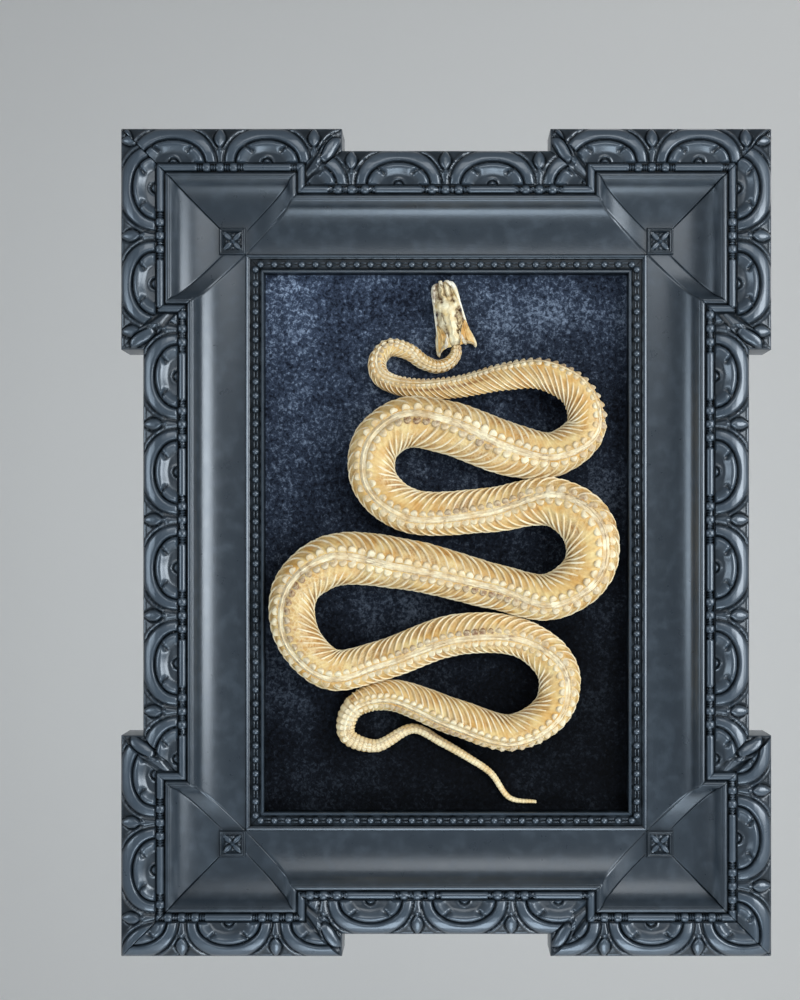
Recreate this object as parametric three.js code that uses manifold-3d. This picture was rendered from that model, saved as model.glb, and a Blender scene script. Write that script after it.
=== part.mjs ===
// Mounted snake skeleton in an eared picture frame, life size, in millimetres with +Z up.
// The picture plane is XZ and the front faces -Y. The origin is the centre of the back.
// "Height" below is the distance in front of the back plane, so height h is y = -h.
import * as THREE from "three";
import { mergeVertices } from "three/addons/utils/BufferGeometryUtils.js";
import Module from "manifold-3d";

const wasm = await Module();
wasm.setup();

// ---- frame sizes ----
const GAP = 0.3;
const SIGHT_HALF = { x: 158.75, z: 235 };
const STRIP_WIDTH = 16.5;
const MOULDING_WIDTH = 85.5;
const EAR_STEP = 19;
const EAR_LENGTH = 190;
const EDGE_HEIGHT = 34;
const ROD_HEIGHT = 45;
const LIP_HEIGHT = 18;
const STRIP_HEIGHT = 20;
const BOARD_THICKNESS = 8;
const ROSETTE_HEIGHT = 22;
const ROSETTE_BEVEL = 2.5;

// ---- skeleton sizes ----
const VELVET_CLEARANCE = 0.3;
const REST_HEIGHT = BOARD_THICKNESS + VELVET_CLEARANCE;
// Half the height of a section, from its half-width and the lean of its spine.
const RISE = { least: 1.6, perHalf: 0.52, perLean: 0.3 };
const MOST_LEAN = 0.97;
// A vertebra's wings and length grow with the body; the rest are shares of its wing reach.
const WING_REACH = { least: 1.4, perHalf: 0.27 };
const VERTEBRA_LENGTH = { least: 2.4, perHalf: 0.25 };
const VERTEBRA = { waist: 0.68, depth: 0.9, seat: 0.8 };
const RIDGE = { atJoint: 0.08, middle: 0.17, least: 0.5 };
const TAIL = { waist: 0.84, jointDrop: 0.6 };
// The rib walls: how far they wrap round from the spine, their outer inset and their thickness.
const RIB_WRAP = 2.45;
const RIB_INSET = 0.3;
const RIB_WALL = { least: 0.5, perHalf: 0.13, most: 2 };
const WING_CLEARANCE = 1.5;
const SHELL_POINTS = 4;
const LINING_POINTS = 3;
// Places of rib rings along the body: the step tried, the longest gap and the largest turn between two.
const RING_SPACING = { stride: 2, most: 24, turn: 0.6 };
const NECK_END = 84;
const TRUNK_ENDS = [288, 517, 754, 925, 1090, 1240, 1385, 1589];

// Where the body lies: x, z, half-width, and how far the spine leans to the left of travel.
const ROUTE = [
  [9, 173, 4.6, 1],
  [8, 164, 5.1, 1.5],
  [2, 157, 5.5, 2.1],
  [-8, 154, 6, 1.8],
  [-20, 158, 6.5, 1.2],
  [-33, 167, 7.4, -2.7],
  [-50, 170, 7.8, -5],
  [-60, 159, 8, -1.2],
  [-57, 145, 8.2, 1.9],
  [-29, 134, 8.6, 6.2],
  [11, 135, 9.6, 8.6],
  [50, 143, 12, 11],
  [84, 145, 13.8, 12.5],
  [114, 128, 15, 13],
  [121, 99, 17.6, 11.5],
  [94, 77, 19.6, 3.7],
  [55, 81, 23.2, -0.3],
  [3, 99.5, 23.2, -5.1],
  [-36, 104, 22.2, -6.6],
  [-62, 84, 21.2, -6],
  [-62, 52, 20.3, -7.8],
  [-33, 28, 19.4, -7.4],
  [35, 28, 19.5, -2.8],
  [94, 35, 21.6, 6.7],
  [123.5, 12, 24, 10.5],
  [123.5, -23, 22.8, 10.8],
  [91, -47, 20.6, 7.6],
  [41, -38, 20, 1.3],
  [-35, -19, 22.2, 3.7],
  [-100, -16, 22.8, -3.7],
  [-131, -41, 20.6, -6.1],
  [-130, -80, 19.8, -10.5],
  [-101, -110, 18.1, -8.2],
  [-58, -103, 17.4, -4],
  [10, -80, 18, -4.5],
  [67, -84, 17, -1.2],
  [97, -111, 18.4, 5],
  [93, -144, 17.4, 9],
  [58, -165, 16, 10],
  [8, -152, 16, 8.7],
  [-51, -133, 13.5, 4.2],
  [-82, -145, 10, 1.7],
  [-87, -168, 7.8, -0.7],
  [-62, -178, 5.9, -1.3],
  [-29, -163, 4.6, -0.4],
  [-4, -175, 4, 0],
  [20, -189, 3.4, 0],
  [39, -202, 2.9, 0],
  [56, -224, 2.4, 0],
  [79, -227.5, 1.5, 0],
];

// ---- head sizes, in the head's own frame: x to its right, z to the snout, height as above ----
const HEAD = { x: 7.6, z: 175, tilt: THREE.MathUtils.degToRad(12) };
const JAW_JOINT = { left: { r: 15.8, f: -8 }, right: { r: 17, f: -6 } };

const FINISH = {
  frame: { color: 0x3b4046, roughness: 0.42, metalness: 0.1 },
  velvet: { color: 0x1b2138, roughness: 0.95, metalness: 0 },
  bone: { color: 0xefe2bd, roughness: 0.6, metalness: 0 },
  ribs: { color: 0xd9b57a, roughness: 0.65, metalness: 0 },
  eye: { color: 0x6f7073, roughness: 0.5, metalness: 0 },
};

const model = new THREE.Group();

function addMesh(parent, name, geometry, finish) {
  const mesh = new THREE.Mesh(geometry, new THREE.MeshStandardMaterial(FINISH[finish]));
  mesh.name = name;
  parent.add(mesh);
  return mesh;
}

// ---- closed solids from rings of points ----

function contourArea(contour) {
  return contour.reduce((sum, p, i) => {
    const q = contour[(i + 1) % contour.length];
    return sum + (p.x * q.y - q.x * p.y) / 2;
  }, 0);
}

// The triangles that close a flat section, all turning the same way as its outline.
function capTriangles(outline) {
  const turn = Math.sign(contourArea(outline));
  return THREE.ShapeUtils.triangulateShape([...outline], []).map(([a, b, c]) => {
    const area = contourArea([outline[a], outline[b], outline[c]]);
    return Math.sign(area) === turn ? [a, b, c] : [a, c, b];
  });
}

function enclosedVolume(points, index) {
  const cross = new THREE.Vector3();
  let volume = 0;
  for (let i = 0; i < index.length; i += 3) {
    cross.crossVectors(points[index[i + 1]], points[index[i + 2]]);
    volume += points[index[i]].dot(cross) / 6;
  }
  return volume;
}

// Joins rings of equal length into one closed body; outline is the flat shape of the two ends.
function solidFromRings(rings, outline) {
  const count = outline.length;
  const last = (rings.length - 1) * count;
  const points = rings.flat();
  const index = [];
  for (let base = 0; base < last; base += count) {
    for (let k = 0; k < count; k++) {
      const a = base + k;
      const b = base + ((k + 1) % count);
      index.push(a, b, b + count, a, b + count, a + count);
    }
  }
  for (const [a, b, c] of capTriangles(outline)) {
    index.push(c, b, a, last + a, last + b, last + c);
  }
  if (enclosedVolume(points, index) < 0) index.reverse();
  const geometry = new THREE.BufferGeometry().setFromPoints(points);
  geometry.setIndex(index);
  geometry.computeVertexNormals();
  return geometry;
}

// ---- joining with manifold-3d ----

function toManifold(geometry) {
  const bare = geometry.clone();
  bare.deleteAttribute("normal");
  bare.deleteAttribute("uv");
  const merged = mergeVertices(bare, 1e-3);
  return new wasm.Manifold(
    new wasm.Mesh({
      numProp: 3,
      vertProperties: merged.attributes.position.array,
      triVerts: new Uint32Array(merged.index.array),
    }),
  );
}

function fromManifold(solid) {
  const mesh = solid.getMesh();
  const geometry = new THREE.BufferGeometry();
  geometry.setAttribute("position", new THREE.BufferAttribute(mesh.vertProperties, 3));
  geometry.setIndex(new THREE.BufferAttribute(mesh.triVerts, 1));
  geometry.computeVertexNormals();
  return geometry;
}

function joined(geometries) {
  return fromManifold(geometries.map(toManifold).reduce((sum, next) => sum.add(next)));
}

// ---- frame ----

// The moulding's section: inset from the outer edge against height.
function mouldingProfile() {
  const bandTop = 42;
  const bandFoot = 38;
  const rodShoulder = ROD_HEIGHT - 2;
  const coveCrest = 40;
  const coveStart = 44;
  const coveSteps = 5;
  const coveTop = 38.5;
  const profile = [
    [0, 0],
    [0, EDGE_HEIGHT],
    [2.5, bandFoot],
    [11, bandTop],
    [21, bandTop],
    [29.5, bandFoot],
    [31, bandFoot],
    [32.5, rodShoulder],
    [34.5, ROD_HEIGHT],
    [36.5, rodShoulder],
    [38, coveTop],
    [42, coveCrest],
  ];
  for (let step = 0; step <= coveSteps; step++) {
    const across = 1 - step / coveSteps;
    const inset = MOULDING_WIDTH - (MOULDING_WIDTH - coveStart) * across;
    const rise = 1 - Math.sqrt(1 - across * across);
    profile.push([inset, LIP_HEIGHT + (coveTop - LIP_HEIGHT) * rise]);
  }
  profile.push([MOULDING_WIDTH, 0]);
  return profile;
}

function stripProfile() {
  const outer = MOULDING_WIDTH + GAP;
  const inner = MOULDING_WIDTH + STRIP_WIDTH;
  const outerSlope = 2.5;
  const innerSlope = 3;
  const innerHeight = LIP_HEIGHT;
  return [
    [outer, REST_HEIGHT],
    [outer, LIP_HEIGHT],
    [outer + outerSlope, STRIP_HEIGHT],
    [inner - innerSlope, STRIP_HEIGHT],
    [inner, innerHeight],
    [inner, REST_HEIGHT],
  ];
}

// One side of the frame lies along local +X with its outer edge towards +Z. Its outline is
// a list of corners: place along, place out, and which way each corner moves as the section
// goes inwards. The two ends are the mitres at 45 degrees.
function railCorners(halfLength, halfOut, eared) {
  const mitreGap = (GAP * Math.SQRT2) / 2;
  if (!eared) {
    return [
      { along: -halfLength + mitreGap, out: halfOut, slide: 1 },
      { along: halfLength - mitreGap, out: halfOut, slide: -1 },
    ];
  }
  const jog = halfLength + EAR_STEP - EAR_LENGTH;
  return [
    { along: -halfLength - EAR_STEP + mitreGap, out: halfOut + EAR_STEP, slide: 1 },
    { along: -jog, out: halfOut + EAR_STEP, slide: -1 },
    { along: -jog, out: halfOut, slide: -1 },
    { along: jog, out: halfOut, slide: 1 },
    { along: jog, out: halfOut + EAR_STEP, slide: 1 },
    { along: halfLength + EAR_STEP - mitreGap, out: halfOut + EAR_STEP, slide: -1 },
  ];
}

function railGeometry(profile, corners) {
  const rings = corners.map(({ along, out, slide }) =>
    profile.map(([inset, height]) => new THREE.Vector3(along + slide * inset, -height, out - inset)),
  );
  return solidFromRings(
    rings,
    profile.map(([inset, height]) => new THREE.Vector2(inset, height)),
  );
}

function rosetteGeometry() {
  const half = EAR_STEP / 2 - GAP;
  const levels = [
    [half, 0],
    [half, ROSETTE_HEIGHT - ROSETTE_BEVEL],
    [half - ROSETTE_BEVEL, ROSETTE_HEIGHT],
  ];
  const square = [new THREE.Vector2(1, 1), new THREE.Vector2(-1, 1)];
  square.push(new THREE.Vector2(-1, -1), new THREE.Vector2(1, -1));
  const rings = levels.map(([reach, height]) =>
    square.map((corner) => new THREE.Vector3(corner.x * reach, -height, corner.y * reach)),
  );
  return solidFromRings(rings, square);
}

function buildFrame() {
  const halfX = SIGHT_HALF.x + STRIP_WIDTH + MOULDING_WIDTH;
  const halfZ = SIGHT_HALF.z + STRIP_WIDTH + MOULDING_WIDTH;
  const sides = [
    { name: "top", turn: 0, length: halfX, out: halfZ },
    { name: "right", turn: Math.PI / 2, length: halfZ, out: halfX },
    { name: "bottom", turn: Math.PI, length: halfX, out: halfZ },
    { name: "left", turn: -Math.PI / 2, length: halfZ, out: halfX },
  ];
  for (const { name, turn, length, out } of sides) {
    const rail = railGeometry(mouldingProfile(), railCorners(length, out, true));
    const strip = railGeometry(stripProfile(), railCorners(length, out, false));
    addMesh(model, `frame_${name}`, rail, "frame").rotation.y = turn;
    addMesh(model, `sight_strip_${name}`, strip, "frame").rotation.y = turn;
  }
  const centre = EAR_STEP / 2 + STRIP_WIDTH;
  for (const [vertical, up] of [["top", 1], ["bottom", -1]]) {
    for (const [side, across] of [["left", -1], ["right", 1]]) {
      const rosette = addMesh(model, `rosette_${vertical}_${side}`, rosetteGeometry(), "frame");
      rosette.position.x = across * (SIGHT_HALF.x + centre);
      rosette.position.z = up * (SIGHT_HALF.z + centre);
    }
  }
  const board = new THREE.BoxGeometry(
    2 * (SIGHT_HALF.x + STRIP_WIDTH - GAP),
    BOARD_THICKNESS,
    2 * (SIGHT_HALF.z + STRIP_WIDTH - GAP),
  );
  addMesh(model, "velvet_board", board, "velvet").position.y = -BOARD_THICKNESS / 2;
}

// ---- body ----

const path = new THREE.CatmullRomCurve3(ROUTE.map(([x, z]) => new THREE.Vector3(x, 0, z)));
const girth = new THREE.CatmullRomCurve3(ROUTE.map(([, , half, lean]) => new THREE.Vector3(half, lean, 0)));
path.arcLengthDivisions = 2400;
const bodyLength = path.getLength();

const grown = ({ least, perHalf }, half) => least + perHalf * half;
const vertebraReach = (half) => grown(WING_REACH, half);
const vertebraLength = (half) => grown(VERTEBRA_LENGTH, half);

// Everything that the body's shape needs at a distance s from the back of the skull.
function station(s) {
  const t = path.getUtoTmapping(0, THREE.MathUtils.clamp(s, 0, bodyLength));
  const point = path.getPoint(t);
  const travel = path.getTangent(t);
  const { x: half, y: lean } = girth.getPoint(t);
  const rise = grown(RISE, half) + RISE.perLean * Math.abs(lean);
  const spineAngle = Math.asin(THREE.MathUtils.clamp(lean / half, -MOST_LEAN, MOST_LEAN));
  return { point, travel, half, rise, spineAngle };
}

// A point of the section at s: u to the left of travel, height above the back plane.
function sectionPoint({ point, travel }, u, height) {
  return new THREE.Vector3(point.x - travel.z * u, -height, point.z + travel.x * u);
}

// The body's outline at a station is an ellipse that lies on the velvet.
function onBody({ half, rise }, angle, inset) {
  return {
    u: (half - inset) * Math.sin(angle),
    height: REST_HEIGHT + rise + (rise - inset) * Math.cos(angle),
  };
}

// A vertebra's section: its ridge, its two wings and its underside.
function spineRing(at, isJoint) {
  const { half, rise, spineAngle } = at;
  const full = vertebraReach(half);
  const reach = full * (isJoint ? 1 : VERTEBRA.waist);
  const ridge = full * (isJoint ? RIDGE.atJoint : RIDGE.middle) + RIDGE.least;
  const depth = full * VERTEBRA.depth;
  const seat = onBody(at, spineAngle, VERTEBRA.seat);
  const along = new THREE.Vector2(half * Math.cos(spineAngle), -rise * Math.sin(spineAngle)).normalize();
  const out = new THREE.Vector2(-along.y, along.x);
  const place = (across, up) =>
    sectionPoint(
      at,
      seat.u + along.x * across + out.x * up,
      Math.max(seat.height + along.y * across + out.y * up, REST_HEIGHT),
    );
  return [place(0, ridge), place(reach, 0), place(0, -depth), place(-reach, 0)];
}

// On the tail no ribs hang from the spine, and its wings are as wide as the dried tail.
function tailRing(at, isJoint) {
  const reach = at.half * (isJoint ? 1 : TAIL.waist);
  const middle = REST_HEIGHT + at.rise;
  const top = REST_HEIGHT + 2 * at.rise - (isJoint ? TAIL.jointDrop : 0);
  return [
    sectionPoint(at, 0, top),
    sectionPoint(at, reach, middle),
    sectionPoint(at, 0, REST_HEIGHT),
    sectionPoint(at, -reach, middle),
  ];
}

const SPINE_OUTLINE = [
  new THREE.Vector2(0, 1),
  new THREE.Vector2(1, 0),
  new THREE.Vector2(0, -1),
  new THREE.Vector2(-1, 0),
];

function spineGeometry(joints, ringAt) {
  const rings = [];
  joints.forEach((s, i) => {
    const isFirst = i === 0;
    const isLast = i === joints.length - 1;
    const trim = isFirst ? GAP / 2 : isLast ? -GAP / 2 : 0;
    rings.push(ringAt(station(s + trim), true));
    if (!isLast) rings.push(ringAt(station((s + joints[i + 1]) / 2), false));
  });
  return solidFromRings(rings, SPINE_OUTLINE);
}

// One side of the rib cage: a thin curved wall from beside the spine round to the belly gap.
function ribRing(at, side) {
  const { half, rise, spineAngle } = at;
  const wall = Math.min(RIB_WALL.most, grown(RIB_WALL, half));
  const speed = Math.hypot(half * Math.cos(spineAngle), rise * Math.sin(spineAngle));
  const start = spineAngle + (side * (vertebraReach(half) + WING_CLEARANCE)) / speed;
  const end = spineAngle + side * RIB_WRAP;
  const ring = [];
  for (let k = 0; k < SHELL_POINTS; k++) {
    const { u, height } = onBody(at, THREE.MathUtils.lerp(start, end, k / (SHELL_POINTS - 1)), RIB_INSET);
    ring.push(sectionPoint(at, u, height));
  }
  for (let k = LINING_POINTS - 1; k >= 0; k--) {
    const { u, height } = onBody(at, THREE.MathUtils.lerp(start, end, k / (LINING_POINTS - 1)), wall);
    ring.push(sectionPoint(at, u, height));
  }
  return ring;
}

function ribOutline() {
  const outline = [];
  for (let k = 0; k < SHELL_POINTS; k++) outline.push(new THREE.Vector2(k / (SHELL_POINTS - 1), 1));
  for (let k = LINING_POINTS - 1; k >= 0; k--) outline.push(new THREE.Vector2(k / (LINING_POINTS - 1), 0));
  return outline;
}

// Rings lie closer together where the body bends or rolls sharply.
function ringPlaces(from, to) {
  const { stride, most, turn } = RING_SPACING;
  const last = to - GAP / 2;
  const places = [from + GAP / 2];
  for (let s = places[0] + stride; s < last - stride; s += stride) {
    const before = station(places.at(-1));
    const here = station(s);
    const bend = before.travel.angleTo(here.travel);
    const roll = Math.abs(before.spineAngle - here.spineAngle);
    if (bend + roll > turn || s - places.at(-1) > most) places.push(s);
  }
  places.push(last);
  return places;
}

function ribGeometry(from, to, side) {
  const rings = ringPlaces(from, to).map((s) => ribRing(station(s), side));
  return solidFromRings(rings, ribOutline());
}

function vertebraJoints() {
  const shortest = 1;
  const joints = [0];
  while (joints.at(-1) < bodyLength - shortest) {
    const s = joints.at(-1);
    joints.push(Math.min(s + vertebraLength(station(s).half), bodyLength));
  }
  return joints;
}

function buildBody() {
  const joints = vertebraJoints();
  const ends = [NECK_END, ...TRUNK_ENDS].map((end) => joints.findIndex((s) => s >= end));
  let from = 0;
  ends.forEach((to, i) => {
    const name = i === 0 ? "neck" : `trunk_${i}`;
    addMesh(model, `${name}_spine`, spineGeometry(joints.slice(from, to + 1), spineRing), "bone");
    for (const [side, sign] of [["right", 1], ["left", -1]]) {
      const ribs = ribGeometry(joints[from], joints[to], sign);
      addMesh(model, `${name}_ribs_${side}`, ribs, "ribs");
    }
    from = to;
  });
  addMesh(model, "tail_spine", spineGeometry(joints.slice(from), tailRing), "bone");
}

// ---- head ----

const head = new THREE.Group();
head.position.set(HEAD.x, 0, HEAD.z);
head.rotation.y = -HEAD.tilt;
model.add(head);

// A rounded section: half-width, lowest and highest point, and how peaked it is.
function ovalOutline(count, peak) {
  const outline = [];
  for (let k = 0; k < count; k++) {
    const angle = (2 * Math.PI * (k + 0.5)) / count;
    const x = Math.cos(angle);
    const y = Math.sin(angle);
    outline.push(new THREE.Vector2(Math.sign(x) * Math.abs(x) ** peak, Math.sign(y) * Math.abs(y) ** peak));
  }
  return outline;
}

// A bone lofted through stations along the head: place f, offset r, half-width, low, high.
function boneGeometry(stations, count, side = 1, peak = 0.8) {
  const outline = ovalOutline(count, peak);
  const rings = stations.map(({ f, r = 0, half, low, high }) =>
    outline.map(
      (p) => new THREE.Vector3(side * (r + p.x * half), -((low + high) / 2 + (p.y * (high - low)) / 2), f),
    ),
  );
  return solidFromRings(rings, outline);
}

const CRANIUM = [
  { f: 54, half: 3, low: 14.5, high: 19 },
  { f: 52, half: 6.2, low: 14, high: 21 },
  { f: 45, half: 7.6, low: 14.5, high: 23 },
  { f: 36, half: 8, low: 15.5, high: 25.5 },
  { f: 31, half: 8.6, low: 20, high: 28 },
  { f: 25, half: 6.2, low: 16, high: 27.5 },
  { f: 19, half: 7.6, low: 16, high: 27 },
  { f: 13, half: 5.6, low: 15, high: 26.5 },
  { f: 6, half: 6, low: 14.5, high: 24.5 },
  { f: 0.3, half: 3.6, low: 15.5, high: 22 },
];

const UPPER_JAW = [
  { f: 53, r: 7.6, half: 1.2, low: 13.5, high: 16 },
  { f: 49, r: 9.5, half: 1.4, low: 12.8, high: 19 },
  { f: 40, r: 10.4, half: 1.6, low: 12.6, high: 20.5 },
  { f: 31, r: 11, half: 1.6, low: 12.6, high: 18.5 },
  { f: 22, r: 11.9, half: 1.5, low: 12.7, high: 17 },
  { f: 6, r: 13.6, half: 1.2, low: 13, high: 16.5 },
];

// A row of teeth: its ends and count, the gum's height and offset, and how far the tips drop.
const UPPER_TEETH = { first: 49, last: 20, count: 9, gum: 13.2, outward: 0.7, drop: 3.2, radius: 0.8 };
const LOWER_TEETH = { first: 46, last: 18, count: 8, gum: 11.8, outward: -0.2, drop: -2.4, radius: 0.7 };
const TOOTH = { root: 1, tip: 0.3, lean: 3 };
const EYE = { r: 9.9, height: 20.9, f: 25.5, radii: [1.9, 2.9, 3.6] };
const QUADRATE_THICKNESS = 2;

function lowerJaw({ r, f }) {
  const ramus = (13.4 + r) / 2 - 1;
  return [
    { f: 51, r: 1.9, half: 1.2, low: REST_HEIGHT, high: 11.5 },
    { f: 47, r: 5, half: 1.4, low: REST_HEIGHT, high: 12.2 },
    { f: 36, r: 7.6, half: 1.4, low: REST_HEIGHT, high: 12.2 },
    { f: 24, r: 9.6, half: 1.5, low: REST_HEIGHT, high: 12.3 },
    { f: 12, r: 11.6, half: 1.7, low: REST_HEIGHT, high: 12.6 },
    { f: 2, r: ramus, half: 1.8, low: REST_HEIGHT, high: 12.6 },
    { f: f - 1, r, half: 1.4, low: REST_HEIGHT + 0.5, high: 12 },
  ];
}

// Where a jaw's middle runs at a place along the head.
function jawOffset(stations, f) {
  const next = stations.findIndex((at) => at.f <= f);
  const [front, back] = [stations[next - 1], stations[next]];
  return THREE.MathUtils.mapLinear(f, front.f, back.f, front.r, back.r);
}

// A jaw with its row of teeth, each a thin three-sided spike that leans back.
function toothedJaw(stations, teeth, side) {
  const jawCorners = 6;
  const toothCorners = 3;
  const { gum, radius } = teeth;
  const tip = gum - teeth.drop;
  const pieces = [boneGeometry(stations, jawCorners, side)];
  for (let i = 0; i < teeth.count; i++) {
    const f = THREE.MathUtils.lerp(teeth.first, teeth.last, i / (teeth.count - 1));
    const r = jawOffset(stations, f) + teeth.outward;
    const spike = [
      { f, r, half: radius, low: gum - TOOTH.root, high: gum + TOOTH.root },
      { f: f - TOOTH.lean * radius, r, half: TOOTH.tip, low: tip - TOOTH.tip, high: tip + TOOTH.tip },
    ];
    pieces.push(boneGeometry(spike, toothCorners, side));
  }
  return joined(pieces);
}

// The quadrate and the dried sheet behind it: a flared three-cornered plate.
function quadrateGeometry({ r, f }, side) {
  const corners = [
    [11, 15, 21],
    [r - 1.5, f + 9, 17.5],
    [r, f, 15],
    [r - 4, f - 0.5, 16],
    [4.2, -4, 22],
    [7.6, 5, 23],
  ];
  const level = (drop) => corners.map(([x, z, height]) => new THREE.Vector3(side * x, drop - height, z));
  return solidFromRings(
    [level(QUADRATE_THICKNESS), level(0)],
    corners.map(([x, z]) => new THREE.Vector2(x, z)),
  );
}

function buildHead() {
  const craniumCorners = 10;
  addMesh(head, "cranium", boneGeometry(CRANIUM, craniumCorners), "bone");
  for (const [name, side] of [["left", -1], ["right", 1]]) {
    const upper = toothedJaw(UPPER_JAW, UPPER_TEETH, side);
    const lower = toothedJaw(lowerJaw(JAW_JOINT[name]), LOWER_TEETH, side);
    addMesh(head, `upper_jaw_${name}`, upper, "bone");
    addMesh(head, `lower_jaw_${name}`, lower, "bone");
    addMesh(head, `quadrate_${name}`, quadrateGeometry(JAW_JOINT[name], side), "bone");
    const eye = addMesh(head, `eye_${name}`, new THREE.SphereGeometry(1, 8, 6), "eye");
    eye.scale.set(...EYE.radii);
    eye.position.set(side * EYE.r, -EYE.height, EYE.f);
  }
}

buildFrame();
buildBody();
buildHead();

export default model;
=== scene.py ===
"""Framed snake skeleton: the looks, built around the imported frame, in metres with the front facing -Y.

Sizes are in millimetres unless a name says otherwise. "Height" is the distance in front of the
back of the frame, so a point at height h lies at y = -h.
"""

import logging
import math
from dataclasses import dataclass
from enum import Enum
from typing import Callable, Sequence

import bmesh
import bpy
import numpy as np
from mathutils import Matrix, Vector


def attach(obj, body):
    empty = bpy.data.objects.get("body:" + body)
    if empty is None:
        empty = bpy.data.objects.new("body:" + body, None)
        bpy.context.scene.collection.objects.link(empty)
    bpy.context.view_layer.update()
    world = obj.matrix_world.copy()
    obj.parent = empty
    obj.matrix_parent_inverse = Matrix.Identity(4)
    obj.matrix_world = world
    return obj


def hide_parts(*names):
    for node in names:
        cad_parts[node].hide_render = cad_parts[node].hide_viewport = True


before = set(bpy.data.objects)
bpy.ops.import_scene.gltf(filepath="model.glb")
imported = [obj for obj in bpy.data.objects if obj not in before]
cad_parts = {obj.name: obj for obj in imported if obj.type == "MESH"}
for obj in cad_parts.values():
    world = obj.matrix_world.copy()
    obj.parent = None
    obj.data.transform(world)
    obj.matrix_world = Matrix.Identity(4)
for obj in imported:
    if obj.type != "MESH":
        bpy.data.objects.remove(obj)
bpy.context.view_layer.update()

Array = np.ndarray
Piece = bpy.types.Object
Tree = bpy.types.NodeTree
Socket = bpy.types.NodeSocket

LOG = logging.getLogger("snake_skeleton")
MM = 0.001

# ---- frame sizes ----
SIGHT_HALF_X = 158.75
SIGHT_HALF_Z = 235.0
STRIP_WIDTH = 16.5
MOULDING_WIDTH = 85.5
EAR_STEP = 19.0
EAR_LENGTH = 190.0
GAP = 0.3
LIP_HEIGHT = 18.0
BOARD_THICKNESS = 8.0
REST_HEIGHT = BOARD_THICKNESS + GAP
# Each mitred end is cut back by this much along its rail, so that a gap stays between two rails.
MITRE_CUT = GAP * math.sqrt(2) / 2

# ---- the body's route: x, z, half-width, and how far the spine leans to the left of travel ----
ROUTE = (
    (9, 173, 4.6, 1), (8, 164, 5.1, 1.5), (2, 157, 5.5, 2.1), (-8, 154, 6, 1.8), (-20, 158, 6.5, 1.2),
    (-33, 167, 7.4, -2.7), (-50, 170, 7.8, -5), (-60, 159, 8, -1.2), (-57, 145, 8.2, 1.9),
    (-29, 134, 8.6, 6.2), (11, 135, 9.6, 8.6), (50, 143, 12, 11), (84, 145, 13.8, 12.5),
    (114, 128, 15, 13), (121, 99, 17.6, 11.5), (94, 77, 19.6, 3.7), (55, 81, 23.2, -0.3),
    (3, 99.5, 23.2, -5.1), (-36, 104, 22.2, -6.6), (-62, 84, 21.2, -6), (-62, 52, 20.3, -7.8),
    (-33, 28, 19.4, -7.4), (35, 28, 19.5, -2.8), (94, 35, 21.6, 6.7), (123.5, 12, 24, 10.5),
    (123.5, -23, 22.8, 10.8), (91, -47, 20.6, 7.6), (41, -38, 20, 1.3), (-35, -19, 22.2, 3.7),
    (-100, -16, 22.8, -3.7), (-131, -41, 20.6, -6.1), (-130, -80, 19.8, -10.5),
    (-101, -110, 18.1, -8.2), (-58, -103, 17.4, -4), (10, -80, 18, -4.5), (67, -84, 17, -1.2),
    (97, -111, 18.4, 5), (93, -144, 17.4, 9), (58, -165, 16, 10), (8, -152, 16, 8.7),
    (-51, -133, 13.5, 4.2), (-82, -145, 10, 1.7), (-87, -168, 7.8, -0.7), (-62, -178, 5.9, -1.3),
    (-29, -163, 4.6, -0.4), (-4, -175, 4, 0), (20, -189, 3.4, 0), (39, -202, 2.9, 0),
    (56, -224, 2.4, 0), (79, -227.5, 1.5, 0),
)
NECK_END = 84.0
TRUNK_ENDS = (288, 517, 754, 925, 1090, 1240, 1385, 1589)
RIB_WRAP = 2.45


class Side(Enum):
    """The snake's two sides, each with its sign to the left of travel."""

    RIGHT = 1
    LEFT = -1

    @property
    def label(self) -> str:
        """The side's name in lower case."""
        return self.name.lower()


# ---- small numeric helpers ----


def smoothstep(low: float, high: float, value: Array) -> Array:
    """Eases from 0 at low to 1 at high.

    Args:
        low: Where the rise starts.
        high: Where the rise ends.
        value: The numbers to ease.

    Returns:
        The eased numbers, between 0 and 1.
    """
    t = np.clip((value - low) / (high - low), 0, 1)
    return t * t * (3 - 2 * t)


def bell(distance: Array, width: float) -> Array:
    """A smooth bump of height 1 that is about twice width across."""
    return np.exp(-((distance / width) ** 2))


def half_round(across: Array) -> Array:
    """A half-round hump of height 1 where across lies between -1 and 1, and 0 beyond."""
    return np.sqrt(np.clip(1 - across**2, 0, 1))


def full_turn(count: int) -> Array:
    """Evenly spaced angles round a ring, from 0."""
    return np.linspace(0, 2 * math.pi, count, endpoint=False)


def ripple(u: Array, v: Array, seed: int, waves: int = 7) -> Array:
    """Smooth seeded unevenness from a few crossing waves.

    Args:
        u: The first coordinate, in wavelengths.
        v: The second coordinate, in wavelengths.
        seed: Fixes the directions and phases.
        waves: How many waves are summed.

    Returns:
        Values between about -1 and 1.
    """
    rng = np.random.default_rng(seed)
    total = np.zeros(np.broadcast(u, v).shape)
    for _ in range(waves):
        direction = rng.uniform(0, 2 * math.pi)
        length = rng.uniform(0.6, 1.8)
        phase = rng.uniform(0, 2 * math.pi)
        along = u * math.cos(direction) + v * math.sin(direction)
        total = total + np.sin(2 * math.pi * length * along + phase)
    return total / math.sqrt(waves)


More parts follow.
